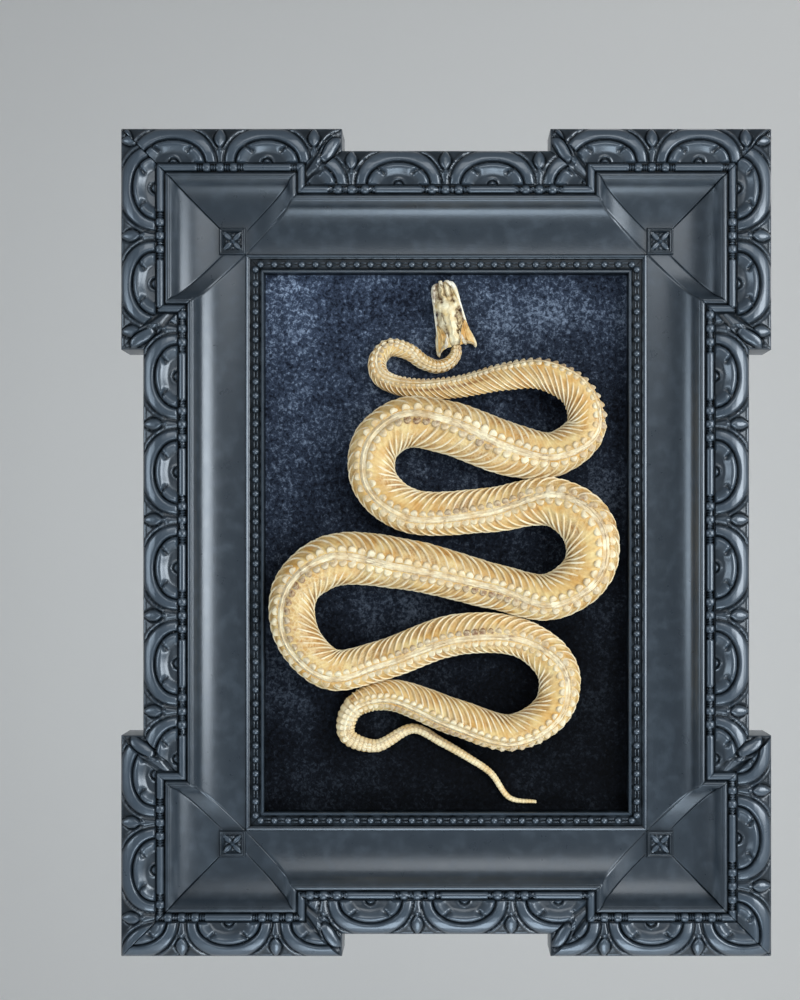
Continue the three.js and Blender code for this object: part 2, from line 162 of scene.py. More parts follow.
def catmull_rom(points: Array, samples: int) -> Array:
    """Samples a centripetal Catmull-Rom curve through points.

    Args:
        points: One row for each point, of any dimension.
        samples: How many samples each span gets.

    Returns:
        The samples, spans * samples + 1 rows.
    """
    least = 1e-4
    ends = np.vstack([2 * points[0] - points[1], points, 2 * points[-1] - points[-2]])
    w = np.linspace(0, 1, samples, endpoint=False)[:, None]
    pieces = []
    for i in range(len(points) - 1):
        p0, p1, p2, p3 = ends[i : i + 4]
        d0, d1, d2 = (float(np.sum((b - a) ** 2)) ** 0.25 for a, b in ((p0, p1), (p1, p2), (p2, p3)))
        d1 = 1.0 if d1 < least else d1
        d0 = d1 if d0 < least else d0
        d2 = d1 if d2 < least else d2
        start = ((p1 - p0) / d0 - (p2 - p0) / (d0 + d1) + (p2 - p1) / d1) * d1
        end = ((p2 - p1) / d1 - (p3 - p1) / (d1 + d2) + (p3 - p2) / d2) * d1
        curve = p1 + start * w + (-3 * p1 + 3 * p2 - 2 * start - end) * w**2
        pieces.append(curve + (2 * p1 - 2 * p2 + start + end) * w**3)
    return np.vstack([*pieces, points[-1:]])


# ---- mesh helpers ----


def grid_faces(rows: int, columns: int, closed: bool) -> list[list[int]]:
    """Quads over points that are stored column by column.

    Args:
        rows: Points in each column.
        columns: The number of columns.
        closed: Whether each column is a ring.

    Returns:
        The quads' vertex indices.
    """
    start = np.arange(columns - 1)[:, None] * rows
    here = np.arange(rows if closed else rows - 1)[None, :]
    after = (here + 1) % rows
    quads = [start + here, start + after, start + rows + after, start + rows + here]
    return np.stack(quads, -1).reshape(-1, 4).tolist()


def make_object(name: str, points: Array, faces: list[list[int]], smooth: bool = True) -> Piece:
    """Makes a mesh object from points in millimetres, at the origin.

    Args:
        name: The piece's name.
        points: One row for each vertex.
        faces: Vertex indices of each face.
        smooth: Whether the faces shade smoothly.

    Returns:
        The new object, linked to the scene.
    """
    mesh = bpy.data.meshes.new(name)
    mesh.from_pydata((np.asarray(points, float) * MM).tolist(), [], faces)
    mesh.polygons.foreach_set("use_smooth", [smooth] * len(mesh.polygons))
    made = bpy.data.objects.new(name, mesh)
    bpy.context.scene.collection.objects.link(made)
    return made


def face_outward(piece: Piece, crisp: float | None = None) -> None:
    """Turns the faces of a closed mesh outwards.

    Args:
        piece: The closed mesh.
        crisp: Edges sharper than this angle in degrees stay crisp under smooth shading.
    """
    work = bmesh.new()
    work.from_mesh(piece.data)
    bmesh.ops.recalc_face_normals(work, faces=work.faces)
    if crisp is not None:
        for edge in work.edges:
            edge.smooth = len(edge.link_faces) == 2 and edge.calc_face_angle(0) < math.radians(crisp)
    work.to_mesh(piece.data)
    work.free()


def loft(name: str, rings: Array, smooth: bool = True, crisp: float | None = None) -> Piece:
    """Joins rings of points into one closed body.

    Args:
        name: The piece's name.
        rings: An array of rings by points by three, in millimetres.
        smooth: Whether the faces shade smoothly.
        crisp: Edges sharper than this angle in degrees stay crisp.

    Returns:
        The new object.
    """
    count, rows = rings.shape[:2]
    faces = grid_faces(rows, count, True)
    last = (count - 1) * rows
    faces.append(list(range(rows)))
    faces.append([last + k for k in reversed(range(rows))])
    made = make_object(name, rings.reshape(-1, 3), faces, smooth)
    face_outward(made, crisp)
    return made


def set_attribute(piece: Piece, name: str, values: Array) -> None:
    """Stores one number for each vertex, for a material to read."""
    made = piece.data.attributes.new(name, "FLOAT", "POINT")
    made.data.foreach_set("value", np.asarray(values, np.float32).ravel())


def join(name: str, pieces: Sequence[Piece]) -> Piece:
    """Joins several mesh objects into one.

    Args:
        name: The joined piece's name.
        pieces: The objects, which are used up.

    Returns:
        The joined object.
    """
    with bpy.context.temp_override(active_object=pieces[0], selected_editable_objects=list(pieces)):
        bpy.ops.object.join()
    pieces[0].name = name
    pieces[0].data.name = name
    return pieces[0]


def add_node(tree: Tree, kind: str, inputs: dict | None = None, **settings) -> bpy.types.Node:
    """Adds one node with its settings and links.

    Args:
        tree: The node tree that gets the node.
        kind: The node's type, which leaves out the word ShaderNode in a material.
        inputs: Sockets by name or number, each linked to a socket or to a node's first output, or set to
            a value, where a hex colour is made linear.
        **settings: The node's own properties; stops is the list of a ramp's places and colours, and span
            is a range's From Min, From Max, To Min and To Max.

    Returns:
        The new node.
    """
    node = tree.nodes.new("ShaderNode" + kind if tree.type == "SHADER" else kind)
    stops = settings.pop("stops", ())
    span = zip(("From Min", "From Max", "To Min", "To Max"), settings.pop("span", ()))
    for key, value in settings.items():
        setattr(node, key, value)
    for i, (place, colour) in enumerate(stops):
        stop = node.color_ramp.elements[i] if i < 2 else node.color_ramp.elements.new(place)
        stop.position = place
        stop.color = linear(colour) if isinstance(colour, str) else (colour, colour, colour, 1)
    for key, value in {**dict(span), **(inputs or {})}.items():
        if isinstance(value, bpy.types.Node):
            value = value.outputs[0]
        if isinstance(value, Socket):
            tree.links.new(value, node.inputs[key])
        else:
            is_colour = isinstance(value, str) and value.startswith("#")
            node.inputs[key].default_value = linear(value) if is_colour else value
    return node


def linear(code: str) -> tuple[float, float, float, float]:
    """Turns an sRGB hex colour into the linear colour that Blender works in.

    Args:
        code: The colour as #rrggbb.

    Returns:
        Red, green, blue and alpha.
    """
    values = [int(code[i : i + 2], 16) / 255 for i in (1, 3, 5)]
    parts = [v / 12.92 if v <= 0.04045 else ((v + 0.055) / 1.055) ** 2.4 for v in values]
    return (*parts, 1.0)


# ---- geometry nodes ----


class Growth:
    """The node trees that make what repeats, and the step that turns their result into plain meshes."""

    def __init__(self) -> None:
        """Builds the two trees."""
        self.rods = self._rod_tree()
        self.scatter = self._scatter_tree()

    @staticmethod
    def _new_tree(name: str, extra: dict[str, str]) -> tuple:
        """Starts a tree with a geometry input and named inputs.

        Args:
            name: The tree's name.
            extra: Socket types by input name.

        Returns:
            The tree, its input node and its output node.
        """
        tree = bpy.data.node_groups.new(name, "GeometryNodeTree")
        tree.interface.new_socket("Geometry", in_out="INPUT", socket_type="NodeSocketGeometry")
        for label, kind in extra.items():
            tree.interface.new_socket(label, in_out="INPUT", socket_type=kind)
        tree.interface.new_socket("Geometry", in_out="OUTPUT", socket_type="NodeSocketGeometry")
        return tree, add_node(tree, "NodeGroupInput"), add_node(tree, "NodeGroupOutput")

    @classmethod
    def _finish_tree(cls, tree: Tree, made: Socket, start: bpy.types.Node, end: bpy.types.Node) -> None:
        """Ends a tree in Realize Instances and Set Material.

        Args:
            tree: The tree.
            made: Its geometry.
            start: The group's input.
            end: The group's output.
        """
        real = add_node(tree, "GeometryNodeRealizeInstances", {"Geometry": made})
        smooth = add_node(tree, "GeometryNodeSetShadeSmooth", {"Geometry": real})
        dressed = add_node(
            tree, "GeometryNodeSetMaterial", {"Geometry": smooth, "Material": start.outputs["Finish"]}
        )
        tree.links.new(dressed.outputs[0], end.inputs[0])

    def _rod_tree(self) -> Tree:
        """Sweeps a round rod along each chain of edges, as thick as rod_radius says.

        Returns:
            The node tree.
        """
        tree, start, end = self._new_tree(
            "Rods along guides", {"Rod sides": "NodeSocketInt", "Finish": "NodeSocketMaterial"}
        )
        curve = add_node(tree, "GeometryNodeMeshToCurve", {"Mesh": start.outputs["Geometry"]})
        radius = add_node(tree, "GeometryNodeInputNamedAttribute", {"Name": "rod_radius"}, data_type="FLOAT")
        section = add_node(
            tree,
            "GeometryNodeCurvePrimitiveCircle",
            {"Resolution": start.outputs["Rod sides"], "Radius": 1.0},
        )
        swept = add_node(
            tree,
            "GeometryNodeCurveToMesh",
            {
                "Curve": curve,
                "Profile Curve": section.outputs["Curve"],
                "Scale": radius.outputs["Attribute"],
                "Fill Caps": True,
            },
        )
        self._finish_tree(tree, swept.outputs[0], start, end)
        return tree

    def _scatter_tree(self) -> Tree:
        """Sets a copy of one piece on each point, turned and sized by the point's attributes.

        Returns:
            The node tree.
        """
        tree, start, end = self._new_tree(
            "Pieces on points", {"Piece": "NodeSocketObject", "Finish": "NodeSocketMaterial"}
        )
        piece = add_node(tree, "GeometryNodeObjectInfo", {"Object": start.outputs["Piece"]})
        turn = add_node(tree, "GeometryNodeInputNamedAttribute", {"Name": "turn"}, data_type="FLOAT_VECTOR")
        size = add_node(tree, "GeometryNodeInputNamedAttribute", {"Name": "size"}, data_type="FLOAT_VECTOR")
        rotation = add_node(tree, "FunctionNodeEulerToRotation", {"Euler": turn.outputs["Attribute"]})
        placed = add_node(
            tree,
            "GeometryNodeInstanceOnPoints",
            {
                "Points": start.outputs["Geometry"],
                "Instance": piece.outputs["Geometry"],
                "Rotation": rotation,
                "Scale": size.outputs["Attribute"],
            },
        )
        self._finish_tree(tree, placed.outputs[0], start, end)
        return tree

    @staticmethod
    def grow(name: str, carrier: Piece, tree: Tree, inputs: dict) -> Piece:
        """Runs a tree on a carrier and keeps the result as a plain mesh.

        Args:
            name: The new piece's name.
            carrier: The guides or points, which are removed.
            tree: The tree to run.
            inputs: Values by input name.

        Returns:
            The new object, without a modifier.
        """
        modifier = carrier.modifiers.new("growth", "NODES")
        modifier.node_group = tree
        sockets = {item.name: item for item in tree.interface.items_tree if item.in_out == "INPUT"}
        for label, value in inputs.items():
            modifier[sockets[label].identifier] = value
        bpy.context.view_layer.update()
        grown = carrier.evaluated_get(bpy.context.evaluated_depsgraph_get())
        mesh = bpy.data.meshes.new_from_object(grown)
        mesh.name = name
        bpy.data.objects.remove(carrier)
        made = bpy.data.objects.new(name, mesh)
        bpy.context.scene.collection.objects.link(made)
        return made

    def rods_along(
        self,
        name: str,
        guides: Sequence[Array],
        radii: Sequence[Array],
        finish: bpy.types.Material,
        sides: int = 6,
        extra: dict[str, Sequence[Array]] | None = None,
    ) -> Piece:
        """Makes one piece of many round rods.

        Args:
            name: The piece's name.
            guides: The middle line of each rod, in millimetres.
            radii: The rod's radius at each point of its guide, in millimetres.
            finish: The rods' material.
            sides: How many sides each rod has.
            extra: More numbers for each point, by attribute name.

        Returns:
            The piece of rods.
        """
        mesh = bpy.data.meshes.new(name)
        edges = []
        first = 0
        for guide in guides:
            edges += [(first + i, first + i + 1) for i in range(len(guide) - 1)]
            first += len(guide)
        mesh.from_pydata((np.vstack(guides) * MM).tolist(), edges, [])
        carrier = bpy.data.objects.new(name + "_guides", mesh)
        bpy.context.scene.collection.objects.link(carrier)
        set_attribute(carrier, "rod_radius", np.concatenate(radii) * MM)
        for label, values in (extra or {}).items():
            set_attribute(carrier, label, np.concatenate(values))
        return self.grow(name, carrier, self.rods, {"Rod sides": sides, "Finish": finish})

    def pieces_on(
        self, name: str, unit: Piece, places: Array, turns: Array, sizes: Array, finish: bpy.types.Material
    ) -> Piece:
        """Makes one piece of many copies of a unit.

        Args:
            name: The piece's name.
            unit: The piece that is copied, built in millimetres at the origin.
            places: Where each copy goes, in millimetres.
            turns: Each copy's Euler angles, in radians.
            sizes: Each copy's scale along its own axes.
            finish: The copies' material.

        Returns:
            The piece of copies.
        """
        carrier = make_object(name + "_points", places, [])
        for label, values in (("turn", turns), ("size", sizes)):
            made = carrier.data.attributes.new(label, "FLOAT_VECTOR", "POINT")
            made.data.foreach_set("vector", np.asarray(values, np.float32).ravel())
        return self.grow(name, carrier, self.scatter, {"Piece": unit, "Finish": finish})


# ---- finishes ----


@dataclass(frozen=True)
class Finish:
    """A material: its name says what the real surface is and how it was made."""

    name: str

    def make(self) -> bpy.types.Material:
        """Builds the material.

        Returns:
            The node material.
        """
        material = bpy.data.materials.new(self.name)
        material.use_nodes = True
        tree = material.node_tree
        tree.nodes.clear()
        where = add_node(tree, "TexCoord").outputs["Object"]
        looks = self.dress(tree, where)
        height, strength, distance = looks["Normal"]
        bump = {"Height": height, "Strength": strength, "Distance": distance * MM}
        looks["Normal"] = add_node(tree, "Bump", bump)
        shader = add_node(tree, "BsdfPrincipled", looks)
        add_node(tree, "OutputMaterial", {"Surface": shader})
        return material

    def dress(self, tree: Tree, where: Socket) -> dict:
        """Builds the patterns and gives the shader's inputs; each finish has its own.

        Args:
            tree: The material's node tree.
            where: The object coordinates, in metres.

        Returns:
            The shader's inputs by name; Normal is the bump's height, strength and distance in millimetres.
        """
        raise NotImplementedError


@dataclass(frozen=True)
class CarvedPaint(Finish):
    """Satin black paint brushed over pressed ornament: slate sheen, painted shade in hollows, crests rubbed
    and painted lighter.
    """

    hollow: str = "#050708"
    body: str = "#1d242a"
    crest: str = "#3a444d"
    dust: str = "#4a555f"

    def dress(self, tree: Tree, where: Socket) -> dict:
        """Colours by the relief attribute, dark as painted shade in hollows and light on crests, with
        handling dust in 12 mm clouds.
        """
        relief = add_node(tree, "Attribute", attribute_name="relief").outputs["Fac"]
        stops = [(0.0, self.hollow), (0.9, self.crest), (0.35, self.body)]
        tone = add_node(tree, "ValToRGB", {"Fac": relief}, stops=stops)
        clouds = add_node(tree, "TexNoise", {"Vector": where, "Scale": 85.0, "Detail": 6.0})
        veil = add_node(tree, "ValToRGB", {"Fac": clouds}, stops=[(0.48, 0.0), (0.8, 0.3)])
        mixed = add_node(tree, "Mix", {0: veil, 6: tone, 7: self.dust}, data_type="RGBA")
        gloss = add_node(tree, "MapRange", {"Value": clouds}, span=(0.3, 0.7, 0.27, 0.36))
        # Brush drag and dust nibs of about 1 mm.
        nibs = add_node(tree, "TexNoise", {"Vector": where, "Scale": 900.0, "Detail": 3.0})
        # The hollows shine less than the crests: painted shade, for the reflection that the carving would
        # block.
        shine = add_node(tree, "MapRange", {"Value": relief}, span=(0.08, 0.5, 0.1, 0.85))
        lacquer = add_node(tree, "Math", {0: shine, 1: 0.4}, operation="MULTIPLY")
        return {
            "Base Color": mixed.outputs[2],
            "Roughness": gloss,
            "Normal": (nibs, 0.12, 0.4),
            "Specular IOR Level": shine,
            "Specular Tint": "#e8eef3",
            "Coat Weight": lacquer,
            "Coat Roughness": 0.22,
            "Coat Tint": "#eff3f7",
        }


@dataclass(frozen=True)
class CrushedVelvet(Finish):
    """Crushed cotton velvet: a deep navy pile whose flattened tufts catch pale blue light."""

    deep: str = "#080b12"
    pile: str = "#232a36"
    lit: str = "#667180"
    brushed: float = 2.9
    unbrushed: float = 0.11

    def dress(self, tree: Tree, where: Socket) -> dict:
        """Mixes 3 mm tufts with patches of about 75 mm, then paints light and shade across the panel."""
        flat = add_node(tree, "Mapping", {"Vector": where, "Scale": (1.0, 0.2, 1.0)})
        tufts = add_node(
            tree,
            "TexNoise",
            {"Vector": flat, "Scale": 340.0, "Detail": 7.0, "Roughness": 0.7, "Distortion": 0.5},
        )
        patches = add_node(
            tree, "TexNoise", {"Vector": flat, "Scale": 13.0, "Detail": 4.0, "Roughness": 0.55}
        )
        spread = add_node(tree, "MapRange", {"Value": patches}, span=(0.36, 0.68, -0.1, 0.1))
        lifted = add_node(tree, "Math", {0: tufts, 1: spread}, operation="ADD")
        stops = [(0.34, self.deep), (0.76, self.lit), (0.53, self.pile)]
        colour = add_node(tree, "ValToRGB", {"Fac": lifted}, stops=stops)
        # Painted light and shade: lifted at the top left and dimmed at the lower right, as the lamps fall on
        # the pile.
        lie = add_node(tree, "VectorMath", {0: where, 1: (-0.55, 0.0, 1.0)}, operation="DOT_PRODUCT")
        share = add_node(tree, "MapRange", {"Value": lie.outputs["Value"]}, span=(-0.24, 0.3))
        eased = add_node(tree, "Math", {0: share, 1: 2.1}, operation="POWER")
        lean = add_node(tree, "MapRange", {"Value": eased}, span=(0.0, 1.0, self.unbrushed, self.brushed))
        lit_and_shaded = add_node(tree, "VectorMath", {0: colour, "Scale": lean}, operation="SCALE")
        return {
            "Base Color": lit_and_shaded,
            "Roughness": 0.95,
            "Normal": (tufts, 0.7, 1.2),
            "Specular IOR Level": 0.1,
            "Sheen Weight": 0.12,
            "Sheen Roughness": 0.4,
            "Sheen Tint": "#8c9cc0",
        }


@dataclass(frozen=True)
class DryBone(Finish):
    """Defleshed bone dried in air: warm cream, greasy tan clouds, brown stains and painted shade in its
    hollows.
    """

    pale: str = "#f1e6c2"
    warm: str = "#d8b878"
    stain: str = "#6a4c2b"
    grain: float = 420.0

    def dress(self, tree: Tree, where: Socket) -> dict:
        """Mixes grease clouds of about 8 mm with the attribute of stain and painted shade, and fine pores."""
        clouds = add_node(
            tree, "TexNoise", {"Vector": where, "Scale": 120.0, "Detail": 6.0, "Roughness": 0.6}
        )
        stops = [(0.4, self.pale), (0.68, self.warm)]
        base = add_node(tree, "ValToRGB", {"Fac": clouds}, stops=stops)
        held = add_node(tree, "Attribute", attribute_name="stain").outputs["Fac"]
        speck = add_node(
            tree, "TexNoise", {"Vector": where, "Scale": self.grain, "Detail": 5.0, "Roughness": 0.7}
        )
        uneven = add_node(tree, "MapRange", {"Value": speck}, span=(0.3, 0.7, 0.45, 1.3))
        amount = add_node(tree, "Math", {0: held, 1: uneven}, operation="MULTIPLY", use_clamp=True)
        mixed = add_node(tree, "Mix", {0: amount, 6: base, 7: self.stain}, data_type="RGBA")
        return {
            "Base Color": mixed.outputs[2],
            "Roughness": 0.5,
            "Normal": (speck, 0.35, 0.5),
            "Specular IOR Level": 0.4,
        }


@dataclass(frozen=True)
class DriedMembrane(Finish):
    """Muscle and skin dried over the ribs: gold, ochre painted shade between the ribs, brown by the spine."""

    cream: str = "#ead192"
    tan: str = "#cf9c4e"
    ochre: str = "#8a5a26"
    rust: str = "#8d4f33"
    sinew: str = "#f3e3b4"

    def dress(self, tree: Tree, where: Socket) -> dict:
        """Colours by two attributes over 13 mm blotches: painted shade in ochre, and a brown flush."""
        blotches = add_node(
            tree, "TexNoise", {"Vector": where, "Scale": 75.0, "Detail": 7.0, "Roughness": 0.62}
        )
        stops = [(0.36, self.tan), (0.66, self.cream)]
        base = add_node(tree, "ValToRGB", {"Fac": blotches}, stops=stops)
        # Painted shade: ochre is mixed in where the tissue sinks and beside the ribs.
        hollow = add_node(tree, "Attribute", attribute_name="hollow").outputs["Fac"]
        deeper = add_node(tree, "Mix", {0: hollow, 6: base, 7: self.ochre}, data_type="RGBA")
        flush = add_node(tree, "Attribute", attribute_name="flush").outputs["Fac"]
        speck = add_node(tree, "TexNoise", {"Vector": where, "Scale": 210.0, "Detail": 5.0, "Roughness": 0.7})
        flecks = add_node(tree, "ValToRGB", {"Fac": speck}, stops=[(0.44, 0.0), (0.72, 0.6)])
        amount = add_node(tree, "Math", {0: flush, 1: flecks}, operation="MULTIPLY")
        stained = add_node(tree, "Mix", {0: amount, 6: deeper.outputs[2], 7: self.rust}, data_type="RGBA")
        # Where the tissue is thick a net of pale sinew with 4 mm meshes shows in it.
        bent = add_node(
            tree,
            "VectorMath",
            {0: blotches.outputs["Color"], 1: (0.012, 0.012, 0.012), 2: where},
            operation="MULTIPLY_ADD",
        )
        cells = add_node(tree, "TexVoronoi", {"Vector": bent, "Scale": 270.0}, feature="DISTANCE_TO_EDGE")
        web = add_node(tree, "MapRange", {"Value": cells}, span=(0.03, 0.2, 0.38, 0.0))
        strands = add_node(tree, "Math", {0: flush, 1: web}, operation="MULTIPLY")
        netted = add_node(tree, "Mix", {0: strands, 6: stained.outputs[2], 7: self.sinew}, data_type="RGBA")
        height = add_node(tree, "Math", {0: strands, 1: 0.8, 2: speck}, operation="MULTIPLY_ADD")
        return {
            "Base Color": netted.outputs[2],
            "Roughness": 0.45,
            "Normal": (height, 0.5, 0.9),
            "Specular IOR Level": 0.5,
        }


@dataclass(frozen=True)
class DriedEye(Finish):
    """An eye shrunk and dried in its socket: matt grey skin with dark wrinkles."""

    skin: str = "#544438"
    crease: str = "#1d1612"

    def dress(self, tree: Tree, where: Socket) -> dict:
        """Wrinkles of 1 to 2 mm over a grey ground."""
        wrinkles = add_node(
            tree, "TexNoise", {"Vector": where, "Scale": 700.0, "Detail": 5.0, "Distortion": 1.5}
        )
        stops = [(0.35, self.crease), (0.6, self.skin)]
        tone = add_node(tree, "ValToRGB", {"Fac": wrinkles}, stops=stops)
        return {"Base Color": tone, "Roughness": 0.55, "Normal": (wrinkles, 0.6, 0.4)}


@dataclass(frozen=True)
class PressedBoard(Finish):
    """Brown hardboard or gummed kraft tape: pressed fibres in short random dashes."""

    light: str = "#9a7752"
    dark: str = "#6b4e33"

    def dress(self, tree: Tree, where: Socket) -> dict:
        """Fibres of about 2 mm over a slow change of tone."""
        fibres = add_node(
            tree, "TexNoise", {"Vector": where, "Scale": 480.0, "Detail": 6.0, "Distortion": 2.0}
        )
        stops = [(0.35, self.dark), (0.65, self.light)]
        tone = add_node(tree, "ValToRGB", {"Fac": fibres}, stops=stops)
        return {"Base Color": tone, "Roughness": 0.8, "Normal": (fibres, 0.3, 0.3)}


@dataclass(frozen=True)
class StudioPaper(Finish):
    """Matt pale backdrop paper, for the floor and wall of the stage."""

    tone: str = "#f0eeea"

    def dress(self, tree: Tree, where: Socket) -> dict:
        """A plain pale tone with a faint tooth."""
        tooth = add_node(tree, "TexNoise", {"Vector": where, "Scale": 60.0, "Detail": 3.0})
        return {"Base Color": self.tone, "Roughness": 0.9, "Normal": (tooth, 0.05, 1.0)}


class Palette:
    """Every material of the object, built once."""

    def __init__(self) -> None:
        """Builds the materials."""
        self.paint = CarvedPaint("Satin_black_paint_on_pressed_ornament").make()
        self.velvet = CrushedVelvet("Crushed_cotton_velvet").make()
        self.bone = DryBone("Air_dried_bone").make()
        self.jaw = DryBone("Air_dried_jaw_bone", pale="#fdf7e4", warm="#efdfb2").make()
        self.rib = DryBone(
            "Air_dried_rib_bone", pale="#faeecb", warm="#e3c589", stain="#8a5d2f", grain=300.0
        ).make()
        self.spine = DryBone("Dried_vertebra_bone", pale="#f8ebc6", warm="#dfbf88", stain="#7d5431").make()
        self.membrane = DriedMembrane("Air_dried_muscle_membrane").make()
        self.sheath = DriedMembrane("Dried_tail_sheath", cream="#f5e7bc", tan="#dfbd80").make()
        self.eye = DriedEye("Air_dried_eye").make()
        self.board = PressedBoard("Pressed_hardboard").make()
        self.tape = PressedBoard("Gummed_kraft_tape", light="#b58f60", dark="#97734a").make()
        self.paper = StudioPaper("Matt_backdrop_paper").make()


def enrol(piece: Piece, material: bpy.types.Material | None, nodes: Sequence[str] = ()) -> Piece:
    """Dresses a finished piece, hangs it under the root body and hides the solids that it stands for.

    Args:
        piece: The finished piece.
        material: Its material, or none where the tree has set it.
        nodes: The solids that it stands for.

    Returns:
        The piece.
    """
    if material is not None:
        piece.data.materials.clear()
        piece.data.materials.append(material)
    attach(piece, "root")
    if nodes:
        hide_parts(*nodes)
    LOG.info("%s: %d faces", piece.name, len(piece.data.polygons))
    return piece


# ---- the frame ----


@dataclass(frozen=True)
class Ornament:
    """One repeat of the carved band: a half-round arch, its domed inside, and a bud between two arches.

    Place a runs along the rail from the arch's middle, and up is the distance from the rod.
    """

    arch_half: float = 36.4
    arch_rise: float = 32.2
    inner_half: float = 27.6
    inner_rise: float = 19.8

    @staticmethod
    def _to_ellipse(a: Array, up: Array, half: float, rise: float) -> Array:
        """The distance to an ellipse about the arch's foot, negative inside it.

        Args:
            a: Place along the rail, from the middle of the arch.
            up: Distance from the rod.
            half: The ellipse's half-width.
            rise: The ellipse's height.

        Returns:
            The distance in millimetres.
        """
        f = np.sqrt((a / half) ** 2 + (up / rise) ** 2) + 1e-6
        slope = np.sqrt((a / half**2) ** 2 + (up / rise**2) ** 2) + 1e-6
        return (f - 1) * f / slope

    def height(self, a: Array, up: Array, period: float) -> Array:
        """The relief above the plain band.

        Args:
            a: Place along the rail, from the middle of an arch.
            up: Distance from the rod towards the outer edge.
            period: The distance between two arches.

        Returns:
            The relief in millimetres.
        """
        a = (a + period / 2) % period - period / 2
        outer = self._to_ellipse(a, up, self.arch_half, self.arch_rise)
        inner = self._to_ellipse(a, up, self.inner_half, self.inner_rise)
        middle = (inner + outer) / np.maximum(inner - outer, 1e-3)
        ring = (1.9 - 0.5 * middle) * (1 - np.clip(np.abs(middle), 0, 1) ** 4) * (outer < 0) * (inner > 0)
        relief = ring - 1.6 * bell(inner + 0.3, 0.9) - 1.3 * bell(outer - 0.2, 0.8)
        inside = smoothstep(0.2, 1.2, -inner)
        relief = relief + inside * self._inside(a, up, inner)
        outside = smoothstep(0.2, 1.0, outer)
        return relief + outside * self._between(np.abs(a) - period / 2, up, outer)

    @staticmethod
    def _inside(a: Array, up: Array, inner: Array) -> Array:
        """The arch's inside: a fat roll pinched into three lobes round a button at the rod."""
        depth = -inner
        button_distance = np.hypot(a, up + 0.4)
        # The roll stands steep at its outer side and falls away from its top towards the button.
        top = 5.0
        roll = half_round((depth - top) / 3.8) * (depth < top)
        roll = np.where(depth >= top, 1 - 0.95 * smoothstep(4.6, 12.5, depth), roll)
        hush = smoothstep(5.6, 8.0, button_distance)
        # Two hooked creases cut it into a middle lobe and two side lobes.
        across, along = np.abs(a) - 12.6, up - 9.6
        run = across * 0.6 + along * 0.8
        seam = bell(across * 0.8 - along * 0.6 - 0.05 * run**2, 1.5) * smoothstep(-3.0, 0.0, run)
        dimple = bell(np.hypot(across + 0.8, along), 2.4)
        pinch = 0.95 * seam + 0.4 * dimple
        button = 2.4 * half_round(button_distance / 3.4)
        button = button - 1.3 * bell(button_distance - 4.3, 0.8) + 0.9 * bell(button_distance - 5.8, 0.9)
        return 4.3 * roll * np.clip(1 - pinch, 0.04, 1) * hush + button - 0.5

    @staticmethod
    def _between(a: Array, up: Array, outer: Array) -> Array:
        """The space between arches: a bud at the edge over a knop and a stem, and a leaf along each arch."""
        foot, length = 12.8, 17.4
        rise = np.clip((up - foot) / length, 0, 1)
        width = 5.0 * np.sin(math.pi * rise**0.85) ** 0.8 + 0.01
        inside_bud = np.clip(1 - (a / width) ** 2, 0, 1) * (up > foot) * (up < foot + length)
        bud = 3.0 * np.sqrt(inside_bud)
        edge = np.abs(np.abs(a) - width - 0.5)
        bud = bud - 1.0 * bell(edge, 0.8) * (up > 13.4) * (inside_bud <= 0.15)
        leaf_line = bell(outer - 2.4, 1.2) * smoothstep(9, 15, up)
        stem_width = 1.3 + 1.7 * np.clip(up / 10.5, 0, 1) ** 1.6
        stem = smoothstep(stem_width + 0.8, stem_width - 0.4, np.abs(a)) * smoothstep(11.0, 9.6, up)
        knop = half_round(np.hypot(a, up - 11.2) / 2.1)
        return -1.0 + bud + 1.9 * leaf_line + 1.6 * stem + 2.4 * knop


@dataclass(frozen=True)
class Rail:
    """One side of the frame: where its three lengths of ornament start, and how often they repeat."""

    name: str
    turn: float
    half_length: float
    half_out: float
    period: float
    arches: tuple[float, float, float]


